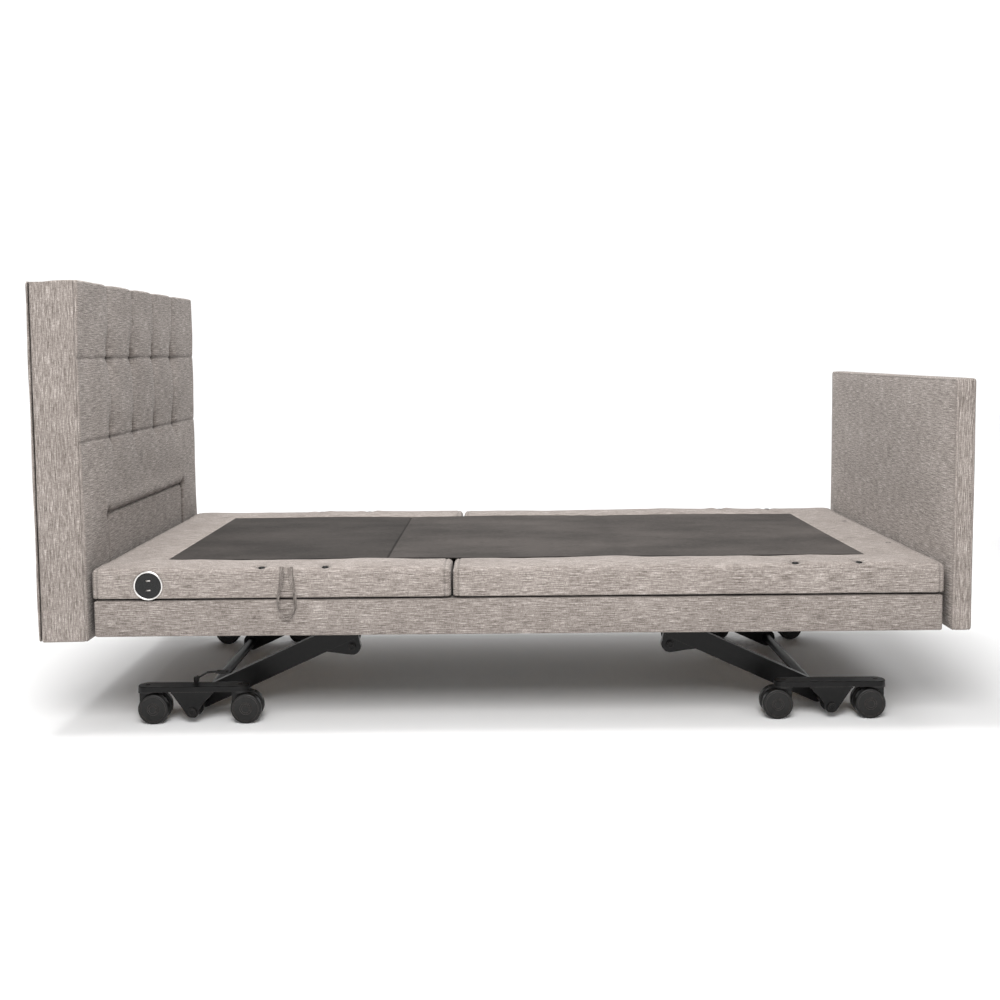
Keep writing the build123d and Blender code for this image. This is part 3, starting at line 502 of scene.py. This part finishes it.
def cover_shape(seed, seams):
    def shape(points, outward):
        x, y, z = points.T
        up = np.clip(outward[:, 2], 0, 1)
        side = np.clip(np.abs(outward[:, 1]), 0, 1)
        middle = np.abs(y) < BACK_MAT[1][1] + 0.004
        rise = 0.0030 * np.sin(np.pi * np.clip((abs(y) - 0.395) / 0.14, 0, 1))
        crown = np.where(middle & (x > BACK_MAT[0][0]) & (x < CALF_MAT[1][0]), -COVER_DROP, rise)
        lump = soft_noise(points, 9.0, seed) * 0.0026 + soft_noise(points, 24.0, seed + 2) * 0.0008
        moved = points.copy()
        moved[:, 2] += up * (deck_height(x, y) + crown + lump * np.where(middle, 0, 1))
        band = np.clip((z - BAND_LOW) / (DECK_TOP - BAND_LOW), 0, 1)
        bulge = 0.0020 * np.sin(np.pi * band) + soft_noise(points, 11.0, seed + 4) * 0.0022 - 0.0014
        seat = np.hypot(x - (USB[0][0] + USB[1][0]) / 2, z - (USB[0][2] + USB[1][2]) / 2)
        pressed = (y < 0) * np.clip((USB_SEAT - seat) / USB_FADE, 0, 1)
        bulge = bulge * (1 - pressed) - 0.0010 * pressed
        moved[:, 1] += np.sign(y) * side * bulge
        # dark is painted shade: drawn darker in the seam grooves and in the dimples round the retainer sockets.
        dark = np.zeros(len(points))
        for place in seams:
            groove = bell(x - place, 0.0024) * ((side > 0.2) | (up > 0.2))
            moved -= outward * (0.0022 * groove)[:, None]
            dark += 0.35 * groove
        for name, mount in MOUNTS.items():
            if not name.endswith("_near") and not name.endswith("_far"):
                continue
            mx, my, _ = mount["pos_m"]
            for dx in (-SOCKET_HALF_PITCH, SOCKET_HALF_PITCH):
                d = np.hypot(x - mx - dx, y - my)
                pull = bell(x - mx - dx, 0.010) * np.clip(1 - np.abs(y - my) / 0.07, 0, 1)
                dimple = 0.0050 * bell(d, 0.013) + 0.0018 * pull - 0.0016 * bell(d - 0.026, 0.010)
                moved[:, 2] -= up * dimple
                dark += up * (0.8 * bell(d, 0.010) + 0.25 * pull)
        return moved, dark
    return shape


def make_covers():
    ceiling = BOARD[1][2] + 0.0006
    inner = BACK_MAT[1][1]
    rounds = ((EDGE, EDGE), (EDGE, EDGE), (LOW_EDGE, EDGE))
    back_high = [BACK[1][0] + SPLIT_PUFF, BACK[1][1], BACK[1][2]]
    back_seams = (BACK[1][0] - END_SEAM, BACK[0][0] + END_SEAM)
    back = pad_mesh(
        "back_cover", BACK[0], back_high, rounds, fine=(back_seams, (), ()), shape=cover_shape(1, back_seams),
        recess=((BACK_MAT[0][0], -inner), (BACK[1][0] - EDGE, inner), ceiling))
    low = [THIGH[0][0] - SPLIT_PUFF, THIGH[0][1], BAND_LOW]
    high = [FOOT_X, CALF[1][1], DECK_TOP]
    leg_seams = (low[0] + END_SEAM, FOOT_X - END_SEAM)
    leg = pad_mesh(
        "leg_cover", low, high, rounds, fine=(leg_seams, (), ()), shape=cover_shape(2, leg_seams),
        recess=((low[0] + EDGE, -inner), (CALF_MAT[1][0], inner), ceiling))
    for cover, nodes in ((back, ("back_border",)), (leg, ("thigh_border", "calf_border"))):
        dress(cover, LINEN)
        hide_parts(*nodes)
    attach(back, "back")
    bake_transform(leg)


def mat_height(x, y):
    return DECK_TOP - COVER_DROP + deck_height(x, y) + MAT_LIFT


def seam_line(y):
    """Where the mat's sewn line runs: nearly straight across the deck."""
    return MAT_SEAM_X + 0.003 * np.sin(y * 3)


def make_mats():
    ys = np.linspace(BACK_MAT[0][1], BACK_MAT[1][1], 90)

    def back_height(x, y):
        groove = bell(x - seam_line(y), 0.003) * 0.0012
        sag = bell(x - MAT_SEAM_X, 0.03) * 0.0010
        return mat_height(x, y) - groove - sag

    # Painted shade on the back mat: the head part darker overall, a dark line in the sewn seam's dip, and the edge
    # line below.
    def back_painted_shade(x, y):
        return 0.30 * (x < MAT_SEAM_X) + 0.85 * bell(x - seam_line(y), 0.0022) + edge_painted_shade(y)

    def leg_height(x, y):
        crease = bell(x - KNEE_X, 0.02) * bell(np.abs(y) - BACK_MAT[1][1], 0.09) * 0.0015
        return mat_height(x, y) - crease

    # Painted shade on the leg mat: a faint dark band over the knee crease, and the edge line below.
    def leg_painted_shade(x, y):
        return 0.10 * bell(x - KNEE_X, 0.02) + edge_painted_shade(y)

    # Painted shade: a dark line along the mat's long edges, where it meets the cover.
    def edge_painted_shade(y):
        return 0.45 * bell(BACK_MAT[1][1] - np.abs(y), 0.006)

    xs = np.unique(np.round(np.concatenate([
        np.linspace(BACK_MAT[0][0] - 0.008, SPLIT_X, 110), MAT_SEAM_X + np.linspace(-0.01, 0.01, 9)]), 5))
    back = sheet_mesh("back_mat_cloth", xs, ys, back_height, MAT_THICK, back_painted_shade)
    xs = np.linspace(SPLIT_X, CALF_MAT[1][0] + 0.003, 150)
    leg = sheet_mesh("leg_mat_cloth", xs, ys, leg_height, MAT_THICK, leg_painted_shade)
    for cloth, nodes, length, under in (
            (back, ("back_mat",), SPLIT_X - BACK_MAT[0][0], "back_cover"),
            (leg, ("thigh_mat", "calf_mat"), CALF_MAT[1][0] - SPLIT_X, "leg_cover")):
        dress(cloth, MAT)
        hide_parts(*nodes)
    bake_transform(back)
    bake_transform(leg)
    stitch_row("mat_seam", BACK_MAT[0][1] + 0.004, BACK_MAT[1][1] - 0.004, back_height)


def stitch_row(name, y0, y1, height):
    """The dark sewn line across the mat: a flattened thread in the seam's dip."""
    line = []
    for y in np.linspace(y0, y1, 160):
        x = seam_line(y)
        line.append((x, y, float(height(x, y))))
    thread = thread_along(name, line, 0.0011, 0.0005)
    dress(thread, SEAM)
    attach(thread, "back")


def thread_along(name, line, half_wide, half_high):
    """A slim flattened strip that follows a line of points."""
    bm = bmesh.new()
    rings = []
    points = [Vector(p) for p in line]
    for k, p in enumerate(points):
        ahead = (points[min(k + 1, len(points) - 1)] - points[max(k - 1, 0)]).normalized()
        across = ahead.cross(Vector((0, 0, 1))).normalized()
        rise = across.cross(ahead).normalized()
        ring = []
        for s in range(THREAD_SIDES):
            angle = 2 * math.pi * s / THREAD_SIDES
            offset = across * half_wide * math.cos(angle) + rise * half_high * math.sin(angle)
            ring.append(bm.verts.new(p + offset))
        rings.append(ring)
    for a, b in zip(rings, rings[1:]):
        for s in range(THREAD_SIDES):
            t = (s + 1) % THREAD_SIDES
            bm.faces.new((a[s], a[t], b[t], b[s]))
    bm.faces.new(rings[0][::-1])
    bm.faces.new(rings[-1])
    mesh = finish_mesh(bm, name)
    smooth(mesh)
    return link(mesh, name)


def make_rails():
    for side, sign in (("near", -1), ("far", 1)):
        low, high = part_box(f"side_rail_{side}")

        def shape(points, outward, seed=sign + 20):
            moved = points.copy()
            band = np.clip((points[:, 2] - low[2]) / (high[2] - low[2]), 0, 1)
            lump = soft_noise(points, 9.0, seed) * 0.0018
            moved[:, 1] += np.sign(points[:, 1]) * (0.0012 * np.sin(np.pi * band) + lump - 0.0010) * (
                np.abs(outward[:, 1]) > 0.3)
            moved[:, 2] += soft_noise(points, 6.0, seed + 3) * 0.0007 * (np.abs(outward[:, 2]) > 0.3)
            # Painted shade: the rail cover drawn a little darker all over and more so towards its bottom edge.
            return moved, 0.10 + 0.10 * (1 - band)

        rounds = ((0.007, 0.007), (0.004, 0.004), (0.004, 0.003))
        rail = pad_mesh(f"rail_cover_{side}", low, high, rounds, step=0.010, shape=shape)
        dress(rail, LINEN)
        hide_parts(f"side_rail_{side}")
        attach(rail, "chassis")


# ---------------------------------------------------------------- headboard and footboard

TUFT_PITCH = 0.2015
TUFT_Y = [TUFT_PITCH * (k - 1.5) for k in range(4)]
TUFT_Z = (0.901, 0.703)
PANEL_HALF, PANEL_TOP = 0.362, 0.515
FRONT_SEAM = 0.008              # from the pad's front to the seam round it
FOOT_SEAM = 0.008               # from the footboard's edge to the seam on its faces
FOOT_RIDGE = 0.017              # half the distance between the two seams along its rim


def headboard_shape(points, outward):
    """Tufted front: pinched tucks at eight points, sewn lines between them, and a sewn panel below, with painted
    shade in their dips and over the lower front.
    """
    x, y, z = points.T
    front = np.clip(outward[:, 0], 0, 1)
    # dark is painted shade: drawn darker in the tuft lines, tucks, pleats and folds, in the panel's seam lines and
    # corners, and along the seam round the rim.
    depth, dark = np.zeros(len(points)), np.zeros(len(points))
    for tz in TUFT_Z:
        depth += 0.0020 * bell(z - tz, 0.0045) + 0.0016 * bell(z - tz, 0.035)
        dark += 0.26 * bell(z - tz, 0.0040)
    for ty in TUFT_Y:
        run = np.clip((z - TUFT_Z[1]) / 0.01, 0, 1)
        depth += run * (0.0018 * bell(y - ty, 0.0050) + 0.0026 * bell(y - ty, 0.035))
        dark += 0.15 * run * bell(y - ty, 0.0045)
        for tz in TUFT_Z:
            d = np.hypot(y - ty, (z - tz) * 0.8)
            depth += 0.0080 * bell(d, 0.013) + 0.0056 * bell(d, 0.045)
            above, below = np.clip((z - tz) / 0.008, 0, 1), np.clip((tz - z) / 0.010, 0, 1)
            fold = bell(y - ty + 0.26 * (z - tz), 0.009) * above * bell(z - tz, 0.060)
            swell = bell(y - ty - 0.55 * (z - tz), 0.010) * below * bell(z - tz, 0.050)
            depth += 0.0058 * fold - 0.0020 * swell
            depth -= 0.0018 * bell(z - tz - 0.010, 0.008) * bell(np.abs(y - ty) - 0.03, 0.02)
            pinch = bell(y - ty + 0.30 * (z - tz - 0.004), 0.0070) * bell(z - tz - 0.004, 0.0130)
            pleat = bell(z - tz, 0.0040) * bell(y - ty - 0.014, 0.022)
            dark += 0.95 * pinch + 0.50 * pleat + 0.22 * fold
    side_line = bell(np.abs(y) - PANEL_HALF, 0.0040) * (z < PANEL_TOP)
    top_line = bell(z - PANEL_TOP, 0.0040) * (np.abs(y) < PANEL_HALF + 0.004)
    corner = bell(np.hypot(np.abs(y) - PANEL_HALF, z - PANEL_TOP), 0.012)
    depth += 0.0056 * np.maximum(side_line, top_line) + 0.0100 * corner
    dark += np.maximum(0.50 * side_line, 0.45 * top_line) + 0.6 * corner
    # Painted shade: the front drawn darker towards its bottom, where it gets less light.
    dark += 0.30 * np.clip((0.56 - z) / 0.2, 0, 1)
    depth += 0.0030 * (np.abs(y) < PANEL_HALF) * (z < PANEL_TOP)
    depth -= 0.0030 * bell(z - PANEL_TOP - 0.018, 0.018) * (np.abs(y) < PANEL_HALF + 0.03)
    wrinkle = soft_noise(points, 6.0, 31) * 0.0030 + soft_noise(points, 17.0, 33) * 0.0010
    moved = points.copy()
    moved[:, 0] += front * (wrinkle - depth - 0.0008)
    rim = np.maximum(np.abs(outward[:, 1]), np.abs(outward[:, 2])) * (1 - front)
    seam = bell(x - (HEAD_PAD[1][0] - FRONT_SEAM), 0.0022)
    moved -= outward * (rim * (0.0016 * seam + 0.0006 + soft_noise(points, 9.0, 35) * 0.0022))[:, None]
    on_top = outward[:, 2] > 0.3
    dip = sum(0.0030 * bell(y - ty, 0.020) for ty in TUFT_Y) + 0.0060 * bell(x - HEAD_PAD[0][0], 0.04)
    moved[:, 2] -= on_top * dip
    return moved, dark * front + 0.30 * seam * rim


def make_headboard():
    fine_y = [s * PANEL_HALF for s in (-1, 1)] + TUFT_Y
    fine_z = list(TUFT_Z) + [PANEL_TOP]
    low = [BACK_PANEL[1][0] - 0.0028, HEAD_PAD[0][1], HEAD_PAD[0][2]]
    rounds = ((0.004, 0.008), (0.008, 0.016), (0.010, 0.006))
    pad = pad_mesh("headboard_cover", low, HEAD_PAD[1], rounds, step=0.006,
                   fine=((HEAD_PAD[1][0] - FRONT_SEAM,), fine_y, fine_z), grain=(0, 1, 0), shape=headboard_shape)
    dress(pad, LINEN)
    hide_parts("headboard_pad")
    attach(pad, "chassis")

    def back_shape(points, outward):
        wave = 0.0012 * np.sin(points[:, 2] * 23) + soft_noise(points, 9.0, 41) * 0.0008
        return points + outward * (wave * np.abs(outward[:, 1]) - 0.0008)[:, None], np.zeros(len(points))

    panel_low = list(BACK_PANEL[0])
    panel_high = [low[0] - 0.0016, BACK_PANEL[1][1], BACK_PANEL[1][2] - 0.003]
    rounds = ((0.0025, 0.0025), (0.012, 0.012), (0.010, 0.012))
    panel = pad_mesh("headboard_back_cover", panel_low, panel_high, rounds, step=0.012, grain=(0, 1, 0),
                     shape=back_shape)
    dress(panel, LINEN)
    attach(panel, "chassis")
    inset = 0.007
    core = pad_mesh("headboard_core", [panel_high[0] - 0.002, low[1] + inset, low[2] + inset],
                    [low[0] + 0.006, HEAD_PAD[1][1] - inset, HEAD_PAD[1][2] - inset], 0.0008, step=0.05)
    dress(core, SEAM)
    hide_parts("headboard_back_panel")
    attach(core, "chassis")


def footboard_shape(points, outward):
    x, y, z = points.T
    facing = np.abs(outward[:, 0])
    moved = points.copy()
    width = (FOOT_PAD[1][1] - FOOT_PAD[0][1]) / 2
    height = FOOT_PAD[1][2] - FOOT_PAD[0][2]
    edge = np.minimum(width - np.abs(y), np.minimum(z - FOOT_PAD[0][2], FOOT_PAD[1][2] - z))
    seam = bell(edge - FOOT_SEAM, 0.0025) * 0.0020
    crown = 0.0022 * np.clip(edge / 0.08, 0, 1) - 0.0030
    moved[:, 0] += np.sign(outward[:, 0]) * facing * (crown - seam + soft_noise(points, 5.0, 51) * 0.0012)
    rim = 1 - facing
    moved -= outward * (rim * (0.0010 + soft_noise(points, 11.0, 53) * 0.0009))[:, None]
    middle = (FOOT_PAD[0][0] + FOOT_PAD[1][0]) / 2
    ridge = bell(x - middle - FOOT_RIDGE, 0.0022) * 0.0012 + bell(x - middle + FOOT_RIDGE, 0.0022) * 0.0012
    moved -= outward * (rim * ridge)[:, None]
    # Painted shade: darker in the seam grooves on the faces and along the two seams round the rim.
    return moved, 0.22 * facing * bell(edge - FOOT_SEAM, 0.003) + 160 * rim * ridge


def make_footboard():
    middle = (FOOT_PAD[0][0] + FOOT_PAD[1][0]) / 2
    pad = pad_mesh("footboard_cover", FOOT_PAD[0], FOOT_PAD[1], 0.010, step=0.009,
                   fine=((middle - FOOT_RIDGE, middle + FOOT_RIDGE), (), ()), grain=(0, 1, 0),
                   shape=footboard_shape)
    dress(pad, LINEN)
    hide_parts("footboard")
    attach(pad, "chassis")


# ---------------------------------------------------------------- small pieces


def smooth_path(points, count):
    """A smooth line of count points through a few given ones (Catmull-Rom)."""
    given = np.array([points[0]] + list(points) + [points[-1]], float)
    spans = len(points) - 1
    line = []
    for share in np.linspace(0, spans, count):
        k = min(int(share), spans - 1)
        t = share - k
        a, b, c, d = given[k:k + 4]
        square, cube = 2 * a - 5 * b + 4 * c - d, 3 * b - a - 3 * c + d
        line.append(0.5 * (2 * b + (c - a) * t + square * t**2 + cube * t**3))
    return np.array(line)


STRAP_WIDE, STRAP_THICK, STRAP_STEPS = 0.0120, 0.0014, 110
STRAP_LINE = ((-0.0100, 0.004), (-0.0110, -0.016), (-0.0150, -0.045), (-0.0205, -0.072), (-0.0200, -0.094),
              (-0.0110, -0.113), (0.0015, -0.1215), (0.0130, -0.113), (0.0200, -0.092), (0.0195, -0.066),
              (0.0155, -0.038), (0.0105, -0.014), (0.0100, 0.003))


def make_strap():
    """A soft webbing loop: flat where it leaves the top edge, twisting until its lowest bend is edge-on."""
    x0 = (STRAP[0][0] + STRAP[1][0]) / 2 + 0.004
    face = BACK[0][1]
    path = smooth_path(STRAP_LINE, STRAP_STEPS + 1)
    points, faces = [], []
    for k in range(STRAP_STEPS + 1):
        t = k / STRAP_STEPS
        ahead = path[min(k + 1, STRAP_STEPS)] - path[max(k - 1, 0)]
        ahead = Vector((ahead[0], 0, ahead[1])).normalized()
        twist = math.radians(18 + 60 * math.sin(math.pi * t) ** 0.9)
        side = Vector((-ahead.z, 0, ahead.x))
        band = side * math.cos(twist) + Vector((0, -1, 0)) * math.sin(twist)
        normal = ahead.cross(band).normalized() * (STRAP_THICK / 2)
        band *= STRAP_WIDE / 2
        stand = 0.0012 + abs(band.y) + 0.0022 * math.sin(math.pi * t)
        centre = Vector((x0 + path[k][0], face - stand, DECK_TOP + path[k][1]))
        points += [centre - band - normal, centre + band - normal,
                   centre + band + normal, centre - band + normal]
    for k in range(STRAP_STEPS):
        a, b = 4 * k, 4 * k + 4
        for s in range(4):
            n = (s + 1) % 4
            faces.append((a + s, a + n, b + n, b + s))
    faces += [(3, 2, 1, 0), tuple(4 * STRAP_STEPS + s for s in range(4))]
    mesh = bpy.data.meshes.new("strap_loop")
    mesh.from_pydata([tuple(p) for p in points], [], faces)
    layer = mesh.uv_layers.new(name="weave")
    for loop in mesh.loops:
        row, corner = divmod(loop.vertex_index, 4)
        layer.data[loop.index].uv = (row * 0.0025, 0.0105 if corner in (1, 2) else 0.0)
    bm = bmesh.new()
    bm.from_mesh(mesh)
    bmesh.ops.recalc_face_normals(bm, faces=bm.faces)
    bm.to_mesh(mesh)
    bm.free()
    smooth(mesh)
    mesh.set_sharp_from_angle(angle=math.radians(50))
    strap = link(mesh, "strap_loop")
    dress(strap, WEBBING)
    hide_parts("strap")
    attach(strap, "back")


def make_usb_ring():
    centre = (USB[0] + USB[1]) / 2
    radius = (USB[1][0] - USB[0][0]) / 2
    face = USB[0][1]
    profile = [(radius - 0.0040, -0.0006), (radius - 0.0034, 0.0010), (radius - 0.0012, 0.0016),
               (radius + 0.0002, 0.0008), (radius + 0.0004, -0.0018), (radius - 0.0040, -0.0022)]
    bm = bmesh.new()
    rings = []
    for k in range(RING_STEPS):
        angle = 2 * math.pi * k / RING_STEPS
        across, rise = math.cos(angle), math.sin(angle)
        rings.append([bm.verts.new((centre[0] + r * across, face - h, centre[2] + r * rise)) for r, h in profile])
    for k in range(RING_STEPS):
        a, b = rings[k], rings[(k + 1) % RING_STEPS]
        for s in range(len(profile)):
            n = (s + 1) % len(profile)
            bm.faces.new((a[s], a[n], b[n], b[s]))
    mesh = finish_mesh(bm, "usb_ring")
    smooth(mesh)
    ring = link(mesh, "usb_ring")
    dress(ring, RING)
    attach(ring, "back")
    for k, dz in enumerate((-0.0115, 0.0115)):
        tongue = pad_mesh(f"usb_tongue_{k}", [centre[0] - 0.0052, face + 0.0012, centre[2] + dz - 0.0008],
                          [centre[0] + 0.0052, face + 0.008, centre[2] + dz + 0.0010], 0.0004, step=0.003)
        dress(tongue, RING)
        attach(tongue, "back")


def make_eyelets():
    """A small dark socket mouth with a rolled rim at each retainer hole."""
    profile = [(0.0030, -0.0040), (0.0050, -0.0040), (0.0054, 0.0022), (0.0062, 0.0032), (0.0072, 0.0028),
               (0.0080, 0.0006), (0.0080, -0.0040)]
    for name, mount in MOUNTS.items():
        if mount["kind"] != "bolt_pattern":
            continue
        x, y, z = mount["pos_m"]
        pitch = mount["dims"].get("spacing_x_mm", mount["dims"].get("spacing_y_mm")) / 2000
        along = (1, 0) if "spacing_x_mm" in mount["dims"] else (0, 1)
        for k in (-1, 1):
            px, py = x + along[0] * k * pitch, y + along[1] * k * pitch
            level = z + float(deck_height(np.array(px), np.array(py))) - 0.0026
            eyelet = lathe(f"eyelet_{name}_{'a' if k < 0 else 'b'}", profile, (px, py, level), (0, 0, 1), 32)
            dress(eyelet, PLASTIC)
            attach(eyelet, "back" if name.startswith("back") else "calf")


def make_bolt_faces():
    """Hex-socket screw faces over the pivot pins' heads, on both sides of the bed."""
    for joint in frame["joints"]:
        if joint["name"] not in ("hilo", "chassis_level", "foot_lift", "foot_level"):
            continue
        x, _, z = joint["pos_m"]
        low_pivot = joint["name"] in ("hilo", "foot_level")
        end = "head" if joint["name"] in ("hilo", "chassis_level") else "foot"
        node = f"{end}_cross_tube" if low_pivot else "arm_hangers"
        body = f"{end}_arms" if low_pivot else "chassis"
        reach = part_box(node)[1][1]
        radius = 0.0088 if low_pivot else 0.0080
        profile = [(radius, -0.001), (radius, 0.0006), (radius - 0.0012, 0.0012),
                   (radius * 0.62, 0.0012), (radius * 0.56, 0.0004), (radius * 0.50, -0.0008),
                   (radius * 0.3, -0.0008), (0.001, -0.0006)]
        for sign in (-1, 1):
            bolt = lathe(f"bolt_{joint['name']}_{'near' if sign < 0 else 'far'}", profile,
                         (x, sign * reach, z), (0, sign, 0), 36)
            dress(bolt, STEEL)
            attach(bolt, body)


def dress_frame():
    record_slots = {s["node"]: s["material_slot"] for s in frame["record"]["subparts"]}
    for name, obj in frame["nodes"].items():
        material = FINISH.get(record_slots[name])
        if material is None:
            continue
        if not obj.material_slots:
            obj.data.materials.append(material)
        for s in obj.material_slots:
            s.material = material


# ---------------------------------------------------------------- stage


FLOOR_HALF = 14.0
FLAG_X, FLAG_Y, FLAG_Z = 2.6, (-2.2, 2.6), (0.02, 3.0)
LIGHT_AIM = (0.1, 0, 0.4)
CAMERA_AT = (-0.0118, -3.4574, 0.9054)
CAMERA_YAW, CAMERA_PITCH, CAMERA_ROLL = -0.035, 85.328, -0.468


def quad(name, corners):
    mesh = bpy.data.meshes.new(name)
    mesh.from_pydata(corners, [], [(0, 1, 2, 3)])
    return mesh


def make_stage():
    size = FLOOR_HALF
    floor = link(quad("floor", [(-size, -size, 0), (size, -size, 0), (size, size, 0), (-size, size, 0)]), "floor")
    mat, _, _, bsdf = new_material("studio_floor")
    bsdf.inputs["Base Color"].default_value = (0.92, 0.92, 0.92, 1)
    bsdf.inputs["Roughness"].default_value = 0.9
    bsdf.inputs["Specular IOR Level"].default_value = 0.1
    floor.data.materials.append(mat)
    world = bpy.data.worlds.new("studio")
    bpy.context.scene.world = world
    world.use_nodes = True
    background = world.node_tree.nodes["Background"]
    background.inputs["Color"].default_value = (1, 1, 1, 1)
    background.inputs["Strength"].default_value = 1.1
    for name, place, size, power in (("key", (-0.1, -3.5, 3.0), 1.8, 120), ("top", (-0.5, 0.1, 4.0), 2.2, 130)):
        data = bpy.data.lights.new(name, "AREA")
        data.shape = "SQUARE"
        data.size = size
        data.energy = power
        lamp = bpy.data.objects.new(name, data)
        bpy.context.scene.collection.objects.link(lamp)
        lamp.location = place
        lamp.rotation_euler = (Vector(LIGHT_AIM) - Vector(place)).to_track_quat("-Z", "Y").to_euler()
    bpy.context.scene.view_settings.view_transform = "Standard"
    for side, x in (("left", -FLAG_X), ("right", FLAG_X)):
        (y0, y1), (z0, z1) = FLAG_Y, FLAG_Z
        flag = link(quad("flag", [(x, y0, z0), (x, y1, z0), (x, y1, z1), (x, y0, z1)]), f"flag_{side}")
        flag.data.materials.append(SEAM)
        flag.visible_camera = False


def make_camera():
    data = bpy.data.cameras.new("camera")
    data.sensor_width = 36
    data.lens = 44.83
    data.shift_y = -0.0452
    data.clip_end = 60
    camera = bpy.data.objects.new("camera", data)
    bpy.context.scene.collection.objects.link(camera)
    turn = Matrix.Rotation(math.radians(CAMERA_YAW), 4, "Z") @ Matrix.Rotation(math.radians(CAMERA_PITCH), 4, "X")
    turn = turn @ Matrix.Rotation(math.radians(CAMERA_ROLL), 4, "Z")
    camera.matrix_world = Matrix.Translation(CAMERA_AT) @ turn
    bpy.context.scene.camera = camera


make_camera()
make_covers()
make_mats()
make_rails()
make_headboard()
make_footboard()
make_strap()
make_usb_ring()
make_eyelets()
make_bolt_faces()
dress_frame()
make_stage()
